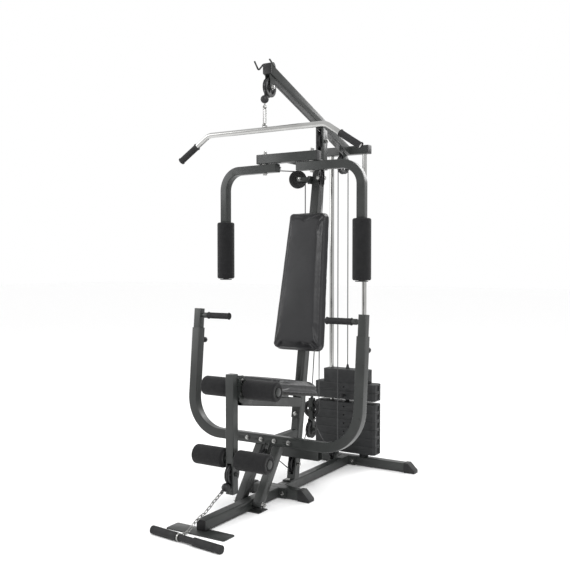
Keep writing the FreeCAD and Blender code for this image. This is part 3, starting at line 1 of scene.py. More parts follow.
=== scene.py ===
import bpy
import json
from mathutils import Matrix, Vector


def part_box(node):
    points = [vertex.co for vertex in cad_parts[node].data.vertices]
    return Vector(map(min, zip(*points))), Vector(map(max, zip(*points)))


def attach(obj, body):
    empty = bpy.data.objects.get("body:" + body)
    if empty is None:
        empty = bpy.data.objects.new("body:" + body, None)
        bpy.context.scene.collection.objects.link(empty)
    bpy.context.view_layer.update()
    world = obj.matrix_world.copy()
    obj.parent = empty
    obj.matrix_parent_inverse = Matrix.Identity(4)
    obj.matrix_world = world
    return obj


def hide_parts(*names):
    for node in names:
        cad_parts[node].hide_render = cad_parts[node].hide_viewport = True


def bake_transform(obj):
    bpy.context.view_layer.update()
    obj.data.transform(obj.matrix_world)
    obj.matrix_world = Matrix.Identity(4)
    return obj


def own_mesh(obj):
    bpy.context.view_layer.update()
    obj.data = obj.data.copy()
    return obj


bl_info = {
    "name": "Home Gym Looks",
    "version": (1, 0, 0),
    "blender": (4, 5, 0),
    "location": "View3D > Sidebar > Home Gym",
    "description": "Cushions, rollers, grips, cables and finishes of a multi station home gym",
    "category": "Object",
}

import json
import math

import bmesh
import bpy
from bpy.props import FloatProperty, FloatVectorProperty, IntProperty, PointerProperty
from mathutils import Matrix, Vector, noise

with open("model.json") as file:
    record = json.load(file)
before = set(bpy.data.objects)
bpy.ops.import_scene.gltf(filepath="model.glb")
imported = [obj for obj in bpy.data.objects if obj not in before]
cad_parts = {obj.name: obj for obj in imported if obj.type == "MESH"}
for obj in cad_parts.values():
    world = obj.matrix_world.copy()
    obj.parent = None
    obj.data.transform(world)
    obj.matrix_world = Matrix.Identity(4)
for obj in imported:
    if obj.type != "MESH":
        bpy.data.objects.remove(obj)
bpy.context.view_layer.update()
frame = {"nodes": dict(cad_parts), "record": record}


# ---------------------------------------------------------------- settings
class PadSettings(bpy.types.PropertyGroup):
    """Sizes of the two upholstered pads"""
    voxel: FloatProperty(name="Remesh size", description="Cell size of the cloth mesh",
                         default=0.0055, unit="LENGTH")
    pressure: FloatProperty(name="Stuffing pressure", description="Pressure inside the cover",
                            default=4.0)
    swell: FloatProperty(name="Largest swell", description="How far the cover may move",
                         default=0.009, unit="LENGTH")
    piping: FloatProperty(name="Piping radius", description="Radius of the corded seam",
                          default=0.0024, unit="LENGTH")
    stitch: FloatProperty(name="Stitch length", description="Length of one stitch",
                          default=0.0045, unit="LENGTH")


class RollerSettings(bpy.types.PropertyGroup):
    """Sizes of the foam rollers and hand grips"""
    edge: FloatProperty(name="Roller edge", description="Radius of a foam roller's end",
                        default=0.009, unit="LENGTH")
    dish: FloatProperty(name="Dish depth", description="How far the foam sinks round its tube",
                        default=0.004, unit="LENGTH")
    ribs: IntProperty(name="Grip ribs", description="Rings along a hand grip", default=22)
    rib_depth: FloatProperty(name="Rib depth", description="Depth of the grooves",
                             default=0.0008, unit="LENGTH")


class CableSettings(bpy.types.PropertyGroup):
    """Sizes of the steel cables"""
    radius: FloatProperty(name="Cable radius", description="Outside radius",
                          default=0.0026, unit="LENGTH")
    sides: IntProperty(name="Sides", description="Facets round a cable", default=16)


class FinishSettings(bpy.types.PropertyGroup):
    """Colours of the finishes"""
    coat: FloatVectorProperty(name="Frame coat", description="Powder coat", subtype="COLOR",
                              default=(0.0145, 0.0160, 0.0152))
    vinyl: FloatVectorProperty(name="Vinyl", description="Pad cover", subtype="COLOR",
                               default=(0.008, 0.008, 0.009))
    foam: FloatVectorProperty(name="Foam", description="Rollers", subtype="COLOR",
                              default=(0.006, 0.006, 0.0065))
    rubber: FloatVectorProperty(name="Rubber", description="Grips", subtype="COLOR",
                                default=(0.007, 0.007, 0.0075))
    plates: FloatVectorProperty(name="Plates", description="Weight plates", subtype="COLOR",
                                default=(0.011, 0.0115, 0.012))
    chrome: FloatVectorProperty(name="Chrome", description="Rods and bar", subtype="COLOR",
                                default=(0.44, 0.44, 0.43))


class StageSettings(bpy.types.PropertyGroup):
    """Camera and floor"""
    eye: FloatVectorProperty(name="Eye", description="Camera place", subtype="TRANSLATION",
                             default=(1.971, -3.1118, 1.1))
    heading: FloatProperty(name="Heading", description="Turn to the left of +Y", subtype="ANGLE",
                           default=math.radians(31.82))
    pitch: FloatProperty(name="Pitch", description="Look down", subtype="ANGLE",
                         default=math.radians(1.65))
    lens: FloatProperty(name="Lens", description="Focal length", subtype="DISTANCE_CAMERA",
                        default=49.78)
    floor: FloatVectorProperty(name="Floor", description="Floor colour", subtype="COLOR",
                               default=(0.985, 0.985, 0.985))


# ---------------------------------------------------------------- finishes
class Recipe:
    """A node material being put together."""

    def __init__(self, name, colour, roughness, metallic=0.0):
        self.material = bpy.data.materials.new(name)
        self.material.use_nodes = True
        self.material.diffuse_color = (*colour, 1)
        self.nodes = self.material.node_tree.nodes
        self.links = self.material.node_tree.links
        self.shader = self.nodes["Principled BSDF"]
        self.set("Base Color", (*colour, 1))
        self.set("Roughness", roughness)
        self.set("Metallic", metallic)
        self.colour = colour
        self.where = self.nodes.new("ShaderNodeTexCoord").outputs["Object"]
        self.height = None

    def set(self, socket, value):
        self.shader.inputs[socket].default_value = value

    def node(self, kind, **values):
        made = self.nodes.new(kind)
        for key, value in values.items():
            key = key.replace("_", " ")
            if key in made.inputs:
                made.inputs[key].default_value = value
            else:
                setattr(made, key.replace(" ", "_"), value)
        return made

    def cloud(self, scale, detail=4.0, rough=0.55):
        made = self.node("ShaderNodeTexNoise", Scale=scale, Detail=detail, Roughness=rough)
        self.links.new(self.where, made.inputs["Vector"])
        return made.outputs["Fac"]

    def cells(self, scale, feature="F1"):
        made = self.nodes.new("ShaderNodeTexVoronoi")
        made.feature = feature
        made.inputs["Scale"].default_value = scale
        self.links.new(self.where, made.inputs["Vector"])
        return made.outputs["Distance"]

    def span(self, value, low, high, out_low, out_high):
        made = self.nodes.new("ShaderNodeMapRange")
        self.links.new(value, made.inputs["Value"])
        for key, number in zip(("From Min", "From Max", "To Min", "To Max"), (low, high, out_low, out_high)):
            made.inputs[key].default_value = number
        return made.outputs["Result"]

    def tint(self, value, other, low=0.35, high=0.65):
        """Mixes the base colour towards another one where value is high."""
        mix = self.nodes.new("ShaderNodeMix")
        mix.data_type = "RGBA"
        self.links.new(self.span(value, low, high, 0.0, 1.0), mix.inputs["Factor"])
        mix.inputs["A"].default_value = (*self.colour, 1)
        mix.inputs["B"].default_value = (*other, 1)
        self.links.new(mix.outputs["Result"], self.shader.inputs["Base Color"])

    def vary_roughness(self, value, low, high):
        self.links.new(self.span(value, 0.3, 0.7, low, high), self.shader.inputs["Roughness"])

    def bump(self, value, distance, strength=1.0):
        made = self.node("ShaderNodeBump", Strength=strength, Distance=distance)
        self.links.new(value, made.inputs["Height"])
        if self.height:
            self.links.new(self.height, made.inputs["Normal"])
        self.height = made.outputs["Normal"]
        self.links.new(self.height, self.shader.inputs["Normal"])


def lighter(colour, factor):
    return tuple(min(1.0, c * factor) for c in colour)


def powder_coat(name, colour):
    """Satin powder coat: fine orange peel, faint dust and polished patches."""
    made = Recipe(name, colour, 0.34)
    made.bump(made.cloud(900.0, 2.0), 0.00006, 0.5)
    made.bump(made.cloud(160.0, 2.0), 0.00010, 0.35)
    made.tint(made.cloud(7.0, 6.0, 0.65), lighter(colour, 1.45))
    made.vary_roughness(made.cloud(22.0), 0.26, 0.42)
    made.set("Specular IOR Level", 0.42)
    return made.material


def bright_metal(name, colour, roughness, scale=60.0):
    """Plated steel with faint wiping marks."""
    made = Recipe(name, colour, roughness, 1.0)
    made.vary_roughness(made.cloud(scale, 5.0, 0.7), roughness * 0.7, roughness * 1.5)
    made.tint(made.cloud(scale / 5, 3.0), lighter(colour, 0.86))
    made.bump(made.cloud(scale * 12, 2.0), 0.00002, 0.3)
    return made.material


def vinyl(name, colour):
    """Upholstery vinyl: pebbled grain, soft creases and a low sheen."""
    made = Recipe(name, colour, 0.42)
    made.bump(made.cells(520.0), 0.00022, 0.55)
    made.bump(made.cells(240.0, "SMOOTH_F1"), 0.00022, 0.4)
    made.bump(made.cloud(14.0, 3.0), 0.0012, 0.25)
    made.tint(made.cloud(9.0, 5.0), lighter(colour, 1.35))
    made.vary_roughness(made.cloud(35.0), 0.34, 0.50)
    made.set("Specular IOR Level", 0.32)
    made.set("Coat Weight", 0.08)
    made.set("Coat Roughness", 0.3)
    return made.material


def foam(name, colour):
    """Closed-cell foam skin: matt, with small open pores."""
    made = Recipe(name, colour, 0.86)
    made.bump(made.cells(900.0), 0.00045, 0.8)
    made.bump(made.cloud(260.0, 5.0, 0.7), 0.0004, 0.6)
    made.tint(made.cloud(420.0, 4.0), lighter(colour, 1.9), 0.45, 0.75)
    made.vary_roughness(made.cloud(50.0), 0.78, 0.95)
    made.set("Specular IOR Level", 0.22)
    made.set("Sheen Weight", 0.08)
    made.set("Sheen Roughness", 0.5)
    return made.material


def moulded(name, colour, roughness=0.5, grain=700.0):
    """Moulded plastic or rubber with a spark-eroded grain."""
    made = Recipe(name, colour, roughness)
    made.set("Specular IOR Level", 0.35)
    made.bump(made.cloud(grain, 3.0, 0.7), 0.00012, 0.5)
    made.tint(made.cloud(12.0, 5.0), lighter(colour, 1.4))
    made.vary_roughness(made.cloud(40.0), roughness * 0.85, roughness * 1.15)
    return made.material


def cast_shell(name, colour):
    """Filled weight plate: pebbled shell, scuffed and a little dusty."""
    made = Recipe(name, colour, 0.58)
    made.set("Specular IOR Level", 0.3)
    made.bump(made.cells(330.0), 0.0004, 0.5)
    made.bump(made.cloud(60.0, 6.0, 0.65), 0.0007, 0.35)
    made.tint(made.cloud(16.0, 7.0, 0.7), lighter(colour, 1.7), 0.42, 0.72)
    made.vary_roughness(made.cloud(25.0), 0.46, 0.68)
    return made.material


def painted_board(name, colour):
    """Black painted plywood with long grain showing through."""
    made = Recipe(name, colour, 0.7)
    stretch = made.node("ShaderNodeMapping", Scale=(40.0, 4.0, 4.0))
    made.links.new(made.where, stretch.inputs["Vector"])
    grain = made.node("ShaderNodeTexNoise", Scale=6.0, Detail=8.0)
    made.links.new(stretch.outputs["Vector"], grain.inputs["Vector"])
    made.bump(grain.outputs["Fac"], 0.0005, 0.5)
    made.tint(grain.outputs["Fac"], lighter(colour, 1.8))
    return made.material


def jacket(name, colour):
    """Coated cable: the strands show faintly through a smooth jacket."""
    made = Recipe(name, colour, 0.36)
    wave = made.node("ShaderNodeTexWave", Scale=260.0, Distortion=0.4)
    wave.bands_direction = "DIAGONAL"
    made.links.new(made.where, wave.inputs["Vector"])
    made.bump(wave.outputs["Fac"], 0.00015, 0.5)
    made.tint(wave.outputs["Fac"], lighter(colour, 1.7))
    made.set("Coat Weight", 0.3)
    return made.material


def make_finishes():
    colours = bpy.context.scene.gym_finishes
    coat = tuple(colours.coat)
    rubber = tuple(colours.rubber)
    chrome = tuple(colours.chrome)
    return {
        "frame_coat": powder_coat("frame_coat", coat),
        "dark_steel": powder_coat("dark_steel", lighter(coat, 0.75)),
        "chrome_steel": bright_metal("chrome_steel", chrome, 0.10),
        "zinc_steel": bright_metal("zinc_steel", lighter(chrome, 0.78), 0.20, 140.0),
        "cable_jacket": jacket("cable_jacket", (0.012, 0.012, 0.013)),
        "pulley_nylon": moulded("pulley_nylon", (0.009, 0.009, 0.0095), 0.42),
        "roller_foam": foam("roller_foam", tuple(colours.foam)),
        "grip_rubber": moulded("grip_rubber", rubber, 0.68, 420.0),
        "pad_vinyl": vinyl("pad_vinyl", tuple(colours.vinyl)),
        "plate_grey": cast_shell("plate_grey", tuple(colours.plates)),
        "cap_plastic": moulded("cap_plastic", (0.008, 0.008, 0.0085), 0.48),
        "buffer_rubber": moulded("buffer_rubber", lighter(rubber, 0.9), 0.8, 300.0),
        "board_wood": painted_board("board_wood", (0.014, 0.0135, 0.013)),
    }


FINISHES = {}


# ---------------------------------------------------------------- helpers
def middle(node):
    low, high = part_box(node)
    return (Vector(low) + Vector(high)) / 2


def paint(obj, slot):
    obj.data.materials.clear()
    obj.data.materials.append(FINISHES[slot])


def link(name, mesh):
    obj = bpy.data.objects.new(name, mesh)
    bpy.context.scene.collection.objects.link(obj)
    return obj


def smooth(mesh):
    for face in mesh.polygons:
        face.use_smooth = True


def finish_mesh(name, bm, slot, body):
    bmesh.ops.remove_doubles(bm, verts=bm.verts, dist=1e-6)
    bmesh.ops.recalc_face_normals(bm, faces=bm.faces)
    mesh = bpy.data.meshes.new(name)
    bm.to_mesh(mesh)
    bm.free()
    smooth(mesh)
    obj = link(name, mesh)
    paint(obj, slot)
    if body:
        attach(obj, body)
    return obj


def along_to(direction):
    """Rotation that takes +Z onto a direction."""
    return Vector((0, 0, 1)).rotation_difference(Vector(direction).normalized()).to_matrix().to_4x4()


def lathe(bm, profile, place, steps=48):
    """Turns a closed outline of (radius, height) about local Z and sets it in place."""
    verts = [bm.verts.new((radius, 0, height)) for radius, height in profile]
    edges = [bm.edges.new((a, b)) for a, b in zip(verts, verts[1:] + verts[:1])]
    bmesh.ops.spin(bm, geom=verts + edges, cent=(0, 0, 0), axis=(0, 0, 1), angle=math.tau, steps=steps,
                   use_merge=True)
    done = {v for v in bm.verts if v.tag}
    fresh = [v for v in bm.verts if v not in done]
    bmesh.ops.transform(bm, matrix=place, verts=fresh)
    for v in fresh:
        v.tag = True


def merged_copy(name, node):
    """A copy of a CAD node's mesh with its loose triangles joined."""
    mesh = frame["nodes"][node].data.copy()
    mesh.name = name
    bm = bmesh.new()
    bm.from_mesh(mesh)
    bmesh.ops.remove_doubles(bm, verts=bm.verts, dist=1e-5)
    bmesh.ops.recalc_face_normals(bm, faces=bm.faces)
    bm.to_mesh(mesh)
    bm.free()
    return link(name, mesh)


# ---------------------------------------------------------------- pads
PAD_TILT = math.radians(9.5)
CLOTH_FRAMES = 20
HELD_BASE = 0.008
CROWN_HEIGHT = 0.004
WRINKLE_HEIGHT = 0.0011
WRINKLES_PER_METRE = 9
LOWER_SEAM_SHARE = 0.12
PIPING_INSET = 0.0006


def stuff(obj, hold):
    """Remeshes a pad, lets cloth under pressure round it, and keeps each point near its start."""
    settings = bpy.context.scene.gym_pads
    remesh = obj.modifiers.new("skin", "REMESH")
    remesh.mode = "VOXEL"
    remesh.voxel_size = settings.voxel
    bpy.context.view_layer.objects.active = obj
    bpy.ops.object.modifier_apply(modifier=remesh.name)
    rest = [v.co.copy() for v in obj.data.vertices]
    group = obj.vertex_groups.new(name="fixed")
    group.add([k for k, co in enumerate(rest) if hold(co)], 1.0, "REPLACE")
    cloth = obj.modifiers.new("stuffing", "CLOTH")
    cloth.settings.use_pressure = True
    cloth.settings.uniform_pressure_force = settings.pressure
    cloth.settings.effector_weights.gravity = 0.0
    cloth.settings.vertex_group_mass = group.name
    scene = bpy.context.scene
    for step in range(CLOTH_FRAMES):
        scene.frame_set(step + 1)
    bpy.ops.object.modifier_apply(modifier=cloth.name)
    scene.frame_set(1)
    for vertex, start in zip(obj.data.vertices, rest):
        move = vertex.co - start
        if move.length > settings.swell:
            vertex.co = start + move.normalized() * settings.swell
    smooth(obj.data)


def soften(obj, body, slot, node):
    sub = obj.modifiers.new("soft", "SUBSURF")
    sub.levels = 1
    sub.render_levels = 1
    paint(obj, slot)
    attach(obj, body)
    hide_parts(node)


def ring_tube(name, points, radius, slot, body):
    """Closed tube along a loop of points."""
    curve = bpy.data.curves.new(name, "CURVE")
    curve.dimensions = "3D"
    curve.bevel_depth = radius
    curve.bevel_resolution = 3
    spline = curve.splines.new("POLY")
    spline.points.add(len(points) - 1)
    for point, co in zip(spline.points, points):
        point.co = (*co, 1)
    spline.use_cyclic_u = True
    maker = link(name + "_path", curve)
    mesh = bpy.data.meshes.new_from_object(maker)
    bpy.data.objects.remove(maker)
    mesh.name = name
    smooth(mesh)
    obj = link(name, mesh)
    paint(obj, slot)
    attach(obj, body)
    return obj


def outline_loop(obj, origin, along, across, height, inset, count=220):
    """Loop on a pad's surface: a ray is cast inwards at each step round it, at one height."""
    up = along.cross(across).normalized()
    points = []
    for k in range(count):
        angle = math.tau * k / count
        way = along * math.cos(angle) + across * math.sin(angle)
        centre = origin + up * height
        hit, spot, _, _ = obj.ray_cast(centre + way * 2.0, -way)
        if hit:
            points.append(spot - way * inset)
    return points


class GYM_OT_seat_pad(bpy.types.Operator):
    """Seat cushion: vinyl cover blown up over foam, with a corded seam"""
    bl_idname = "gym.seat_pad"
    bl_label = "Seat pad"

    def execute(self, context):
        along = Vector((0, math.cos(PAD_TILT), -math.sin(PAD_TILT)))
        make_pad("seat_cushion", "seat_pad", along, 0.25)
        return {"FINISHED"}


class GYM_OT_back_pad(bpy.types.Operator):
    """Back cushion: tapered, crowned cover with a corded seam"""
    bl_idname = "gym.back_pad"
    bl_label = "Back pad"

    def execute(self, context):
        along = Vector((0, math.sin(PAD_TILT), math.cos(PAD_TILT)))
        make_pad("back_cushion", "back_pad", along, 0.22)
        return {"FINISHED"}


def make_pad(name, node, along, seam_share):
    """Pad from its CAD blank: along is its length; the flat base is held and the rest swells."""
    across = Vector((1, 0, 0))
    face = along.cross(across).normalized()
    if (face.z if abs(face.z) > 0.9 else -face.y) < 0:
        face.negate()
    obj = merged_copy(name, node)
    centre = middle(node)
    heights = [(v.co - centre).dot(face) for v in obj.data.vertices]
    low, high = min(heights), max(heights)
    stuff(obj, lambda co: (co - centre).dot(face) < low + HELD_BASE)
    crown_cover(obj, centre, along, across, face, low, high)
    soften(obj, "frame", "pad_vinyl", node)
    settings = bpy.context.scene.gym_pads
    bpy.context.view_layer.update()
    side = across if along.cross(across).dot(face) > 0 else -across
    for label, share in (("upper", 1.0 - seam_share), ("lower", LOWER_SEAM_SHARE)):
        level = low + (high - low) * share
        loop = outline_loop(obj, centre, along, side, level, PIPING_INSET)
        ring_tube(name + "_piping_" + label, loop, settings.piping, "pad_vinyl", "frame")


def crown_cover(obj, centre, along, across, face, low, high):
    """Crowns the front and adds faint wrinkles; the sides keep the CAD blank's outline."""
    reach = max(abs((v.co - centre).dot(along)) for v in obj.data.vertices)
    width = max(abs((v.co - centre).dot(across)) for v in obj.data.vertices)
    for v in obj.data.vertices:
        rel = v.co - centre
        a = rel.dot(along) / reach
        b = rel.dot(across) / width
        h = (rel.dot(face) - low) / (high - low)
        crown = max(0.0, (1 - a * a) * (1 - b * b))
        v.co += face * (CROWN_HEIGHT * crown * max(0.0, h))
        wrinkle = noise.noise(v.co * WRINKLES_PER_METRE) * WRINKLE_HEIGHT
        v.co += face * (wrinkle * max(0.0, h))


# ---------------------------------------------------------------- rollers and grips
EDGE_STEPS = 8
AXLE_ROLLER_BORE = 0.0126
AXLE_ROLLER_START = 0.032
FLY_ROLLER_BORE = 0.0141
# rise above the grip and distance from its end
FLANGE = ((0.0012, 0.0), (0.0022, 0.0015), (0.0022, 0.0045), (0.0, 0.006))
GRIP_PLAIN_LENGTH = 0.02
PRESS_GRIP_RADIUS = 0.0150
PRESS_GRIP_BORE = 0.0111
LAT_GRIP_RADIUS = 0.0152
LAT_GRIP_BORE = 0.0126
LAT_GRIP_LENGTH = 0.118
LAT_BAR_SLOPE = (0.167, 0, -0.109)
LAT_BAR_END_X = 0.482
LAT_BAR_END_Z = 1.591
LAT_GRIP_OVERHANG = 0.003


def soft_profile(radius, bore, length, edge, dish):
    """Outline of a foam sleeve with rounded ends that dip towards the tube."""
    points = [(bore, -length / 2 + dish)]
    for sign in (-1, 1):
        for k in range(EDGE_STEPS + 1):
            angle = math.pi / 2 * k / EDGE_STEPS
            turn = angle if sign < 0 else math.pi / 2 - angle
            points.append((radius - edge + edge * math.sin(turn),
                           sign * (length / 2 - edge + edge * math.cos(turn))))
    points.append((bore, length / 2 - dish))
    return points


def add_sleeve(bm, start, end, radius, bore, edge, dish):
    """One foam sleeve between two points."""
    axis = end - start
    place = Matrix.Translation((start + end) / 2) @ along_to(axis)
    lathe(bm, soft_profile(radius, bore, axis.length, edge, dish), place, 64)


def add_grip(bm, start, end, radius, bore, ribs, depth):
    """Rubber grip with a rolled flange at each end and shallow rings between."""
    axis = end - start
    length = axis.length
    outline = [(bore, -length / 2)]
    outline += [(radius + rise, -length / 2 + inward) for rise, inward in FLANGE]
    span = length - GRIP_PLAIN_LENGTH
    for k in range(ribs):
        base = -span / 2 + span * k / ribs
        step = span / ribs
        outline += [(radius, base + step * 0.10), (radius, base + step * 0.55),
                    (radius - depth, base + step * 0.68), (radius - depth, base + step * 0.92)]
    outline += [(radius + rise, length / 2 - inward) for rise, inward in reversed(FLANGE)]
    outline.append((bore, length / 2))
    lathe(bm, outline, Matrix.Translation((start + end) / 2) @ along_to(axis), 48)


class GYM_OT_rollers(bpy.types.Operator):
    """Foam rollers of the seat, the leg lever and the butterfly arms"""
    bl_idname = "gym.rollers"
    bl_label = "Foam rollers"

    def execute(self, context):
        settings = context.scene.gym_rollers
        jobs = (("knee_foams", "frame", "x"), ("shin_foams", "leg_developer", "x"),
                ("fly_foam_left", "fly_arm_left", "z"), ("fly_foam_right", "fly_arm_right", "z"))
        for node, body, way in jobs:
            low, high = (Vector(v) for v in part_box(node))
            centre = (low + high) / 2
            bm = bmesh.new()
            if way == "z":
                radius = (high.x - low.x) / 2
                ends = [(Vector((centre.x, centre.y, low.z)), Vector((centre.x, centre.y, high.z)))]
                bore = FLY_ROLLER_BORE
            else:
                radius = (high.z - low.z) / 2
                near = AXLE_ROLLER_START
                bore = AXLE_ROLLER_BORE
                ends = [(Vector((near, centre.y, centre.z)), Vector((high.x, centre.y, centre.z)))]
                ends.append((Vector((low.x, centre.y, centre.z)), Vector((-near, centre.y, centre.z))))
            for start, end in ends:
                add_sleeve(bm, start, end, radius, bore, settings.edge, settings.dish)
            obj = finish_mesh(node + "_soft", bm, "roller_foam", body)
            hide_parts(node)
        return {"FINISHED"}


class GYM_OT_grips(bpy.types.Operator):
    """Ribbed rubber grips of the press handles and the lat bar"""
    bl_idname = "gym.grips"
    bl_label = "Grips"

    def execute(self, context):
        settings = context.scene.gym_rollers
        for side in ("left", "right"):
            node = "press_grip_" + side
            low, high = (Vector(v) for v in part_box(node))
            centre = (low + high) / 2
            bm = bmesh.new()
            start = Vector((low.x, centre.y, centre.z))
            end = Vector((high.x, centre.y, centre.z))
            add_grip(bm, start, end, PRESS_GRIP_RADIUS, PRESS_GRIP_BORE, settings.ribs, settings.rib_depth)
            obj = finish_mesh(node + "_ribbed", bm, "grip_rubber", "press_slide_" + side)
            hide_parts(node)
        bm = bmesh.new()
        low, high = (Vector(v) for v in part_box("lat_grips"))
        centre_y = (low.y + high.y) / 2
        slope = Vector(LAT_BAR_SLOPE).normalized()
        outer = Vector((LAT_BAR_END_X, centre_y, LAT_BAR_END_Z)) + slope * LAT_GRIP_OVERHANG
        for sign in (-1, 1):
            start = outer - slope * LAT_GRIP_LENGTH
            mirrored = [Vector((sign * p.x, p.y, p.z)) for p in (start, outer)]
            add_grip(bm, *mirrored, LAT_GRIP_RADIUS, LAT_GRIP_BORE, settings.ribs, settings.rib_depth)
        obj = finish_mesh("lat_grips_ribbed", bm, "grip_rubber", "lat")
        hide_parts("lat_grips")
        return {"FINISHED"}


# ---------------------------------------------------------------- cables
PITCH = 0.040
PRESS_PITCH = 0.025
ARC_STEPS = 24
FLY_STRAND_HEADING = math.radians(52.2)
LEG_BALL_FORWARD = 0.039
LEG_BALL_DROP = 0.028
LOW_CABLE_STEP = 0.02


def tangents(stops):
    """Ends of the straight runs past wheels given as (y, z, radius, way)."""
    runs = []
    for (ay, az, ar, aw), (by, bz, br, bw) in zip(stops, stops[1:]):
        heading = math.atan2(bz - az, by - ay)
        heading -= math.asin((bw * br - aw * ar) / math.hypot(by - ay, bz - az))
        ny, nz = -math.sin(heading), math.cos(heading)
        runs.append((Vector((0, ay - aw * ar * ny, az - aw * ar * nz)),
                     Vector((0, by - bw * br * ny, bz - bw * br * nz))))
    return runs


def stop(point, radius=0.0, way=1):
    return (point.y, point.z, radius, way)


def arc_points(centre, enter, leave, way, count=ARC_STEPS):
    """Points round a wheel in the Y-Z plane."""
    first = math.atan2(enter.z - centre.z, enter.y - centre.y)
    sweep = (math.atan2(leave.z - centre.z, leave.y - centre.y) - first) * way % math.tau
    radius = math.hypot(enter.y - centre.y, enter.z - centre.z)
    points = []
    for k in range(count + 1):
        angle = first + way * sweep * k / count
        x = enter.x + (leave.x - enter.x) * k / count
        points.append(Vector((x, centre.y + radius * math.cos(angle), centre.z + radius * math.sin(angle))))
    return points


def tube_through(bm, points, radius, sides):
    """Skins a cable through points with rings of even facets."""
    ahead = [(b - a).normalized() for a, b in zip(points, points[1:])]
    ways = [ahead[0]] + [(a + b).normalized() for a, b in zip(ahead, ahead[1:])] + [ahead[-1]]
    rings = []
    side = None
    for point, way in zip(points, ways):
        guess = side or Vector((1, 0, 0))
        if abs(guess.dot(way)) > 0.95:
            guess = Vector((0, 1, 0))
        side = (guess - way * guess.dot(way)).normalized()
        rim = bmesh.ops.create_circle(bm, cap_ends=False, segments=sides, radius=radius)["verts"]
        turn = Matrix((side, way.cross(side), way)).transposed().to_4x4()
        bmesh.ops.transform(bm, matrix=Matrix.Translation(point) @ turn, verts=rim)
        rings.append(rim)
    for a, b in zip(rings, rings[1:]):
        edges = [e for r in (a, b) for v in r for e in v.link_edges if e.other_vert(v) in r]
        bmesh.ops.bridge_loops(bm, edges=list(set(edges)))
    for rim in (rings[0], rings[-1]):
        bmesh.ops.contextual_create(bm, geom=rim)


def even(a, b, step=0.08):
    count = max(1, round((b - a).length / step))
    return [a + (b - a) * (k / count) for k in range(count + 1)]


def cable(name, points, body=None):
    settings = bpy.context.scene.gym_cables
    bm = bmesh.new()
    tube_through(bm, points, settings.radius, settings.sides)
    return finish_mesh(name, bm, "cable_jacket", body)


class GYM_OT_cables(bpy.types.Operator):
    """Cables round the pulleys; the loops round the moving pulleys are parented to their bodies and follow
    them
    """
    bl_idname = "gym.cables"
    bl_label = "Moving cables"

    def execute(self, context):
        tip, riser = middle("tip_pulley"), middle("riser_pulley")
        upright, base = middle("upright_pulley"), middle("base_pulley")
        upper, lower = middle("float_upper_pulley"), middle("float_lower_pulley")
        leg, press = middle("leg_pulley"), middle("press_pulley")

        low, high = (Vector(v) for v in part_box("cable_stack"))
        spot = (low + high) / 2
        top = Vector((spot.x, spot.y, high.z))
        obj = cable("stack_strand", even(Vector((spot.x, spot.y, low.z)), top), "frame")
        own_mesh(obj)
        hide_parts("cable_stack")

        low, high = (Vector(v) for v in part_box("cable_lat_front"))
        spot = (low + high) / 2
        bottom, top = Vector((0, spot.y, low.z)), Vector((0, spot.y, high.z))
        obj = cable("lat_strand", even(bottom, top))
        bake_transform(obj)
        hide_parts("cable_lat_front")

        eye = Vector((0, upper.y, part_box("float_block")[1][2]))
        run = tangents([stop(tip, PITCH, -1), stop(riser, PITCH, -1), stop(eye)])[1]
        back = cable("block_strand_lat", even(run[0], run[1]))
        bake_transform(back)
        wheels = {"left": middle("fly_pulley_left"), "right": middle("fly_pulley_right")}
        pieces = [back]
        for side, sign in (("left", -1), ("right", 1)):
            wheel = wheels[side]
            heading = Vector((-sign * math.cos(FLY_STRAND_HEADING), math.sin(FLY_STRAND_HEADING), 0))
            drop = wheel + heading * PITCH
            foot = Vector((sign * PITCH, upper.y, upper.z))
            obj = cable("block_strand_fly_" + side, even(drop, foot))
            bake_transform(obj)
            pieces.append(obj)
        bow = [upper + Vector((PITCH * math.cos(a), 0, PITCH * math.sin(a)))
               for a in (math.pi + math.pi * k / ARC_STEPS for k in range(ARC_STEPS + 1))]
        pieces.append(cable("block_loop_upper", bow, "float_block"))
        for obj in pieces:
            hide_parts("cable_block_high")

        ball = Vector((0, leg.y - LEG_BALL_FORWARD, leg.z - LEG_BALL_DROP))
        stops = [stop(ball), stop(leg, PITCH, -1), stop(press, PRESS_PITCH, -1), stop(upright, PITCH, 1),
                 stop(lower, PITCH, -1), stop(base, PITCH, 1)]
        runs = tangents(stops)
        shift = Vector((base.x, 0, 0))
        up = cable("block_strand_up", even(*runs[3]))
        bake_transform(up)
        over = cable("block_loop_lower", arc_points(lower, runs[3][1], runs[4][0], -1), "float_block")
        slant = cable("block_strand_down", even(runs[4][0], runs[4][1] + shift))
        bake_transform(slant)
        for obj in (up, over, slant):
            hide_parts("cable_block_low")

        halfway = (runs[1][0] + runs[1][1]) / 2
        bend = arc_points(leg, runs[0][1], runs[1][0], -1)
        front = cable("low_loop_leg", [runs[0][0]] + bend, "leg_developer")
        first = cable("low_strand_leg", even(runs[1][0], halfway, LOW_CABLE_STEP))
        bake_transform(first)
        second = cable("low_strand_press", even(halfway, runs[1][1], LOW_CABLE_STEP))
        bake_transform(second)
        loop = cable("low_loop_press", arc_points(press, runs[1][1], runs[2][0], -1), "press_arm")
        last = cable("low_strand_upright", even(*runs[2], LOW_CABLE_STEP))
        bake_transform(last)
        for obj in (front, first, second, loop, last):
            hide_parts("cable_low_front")
        return {"FINISHED"}


# ---------------------------------------------------------------- cable ball
BALL_RADIUS = 0.0187
BALL_PARTING = 0.0004
BALL_MOUTH = 0.0031
BALL_LIP = 0.0006
BALL_LIFT = 0.0002
BALL_STEPS = 24


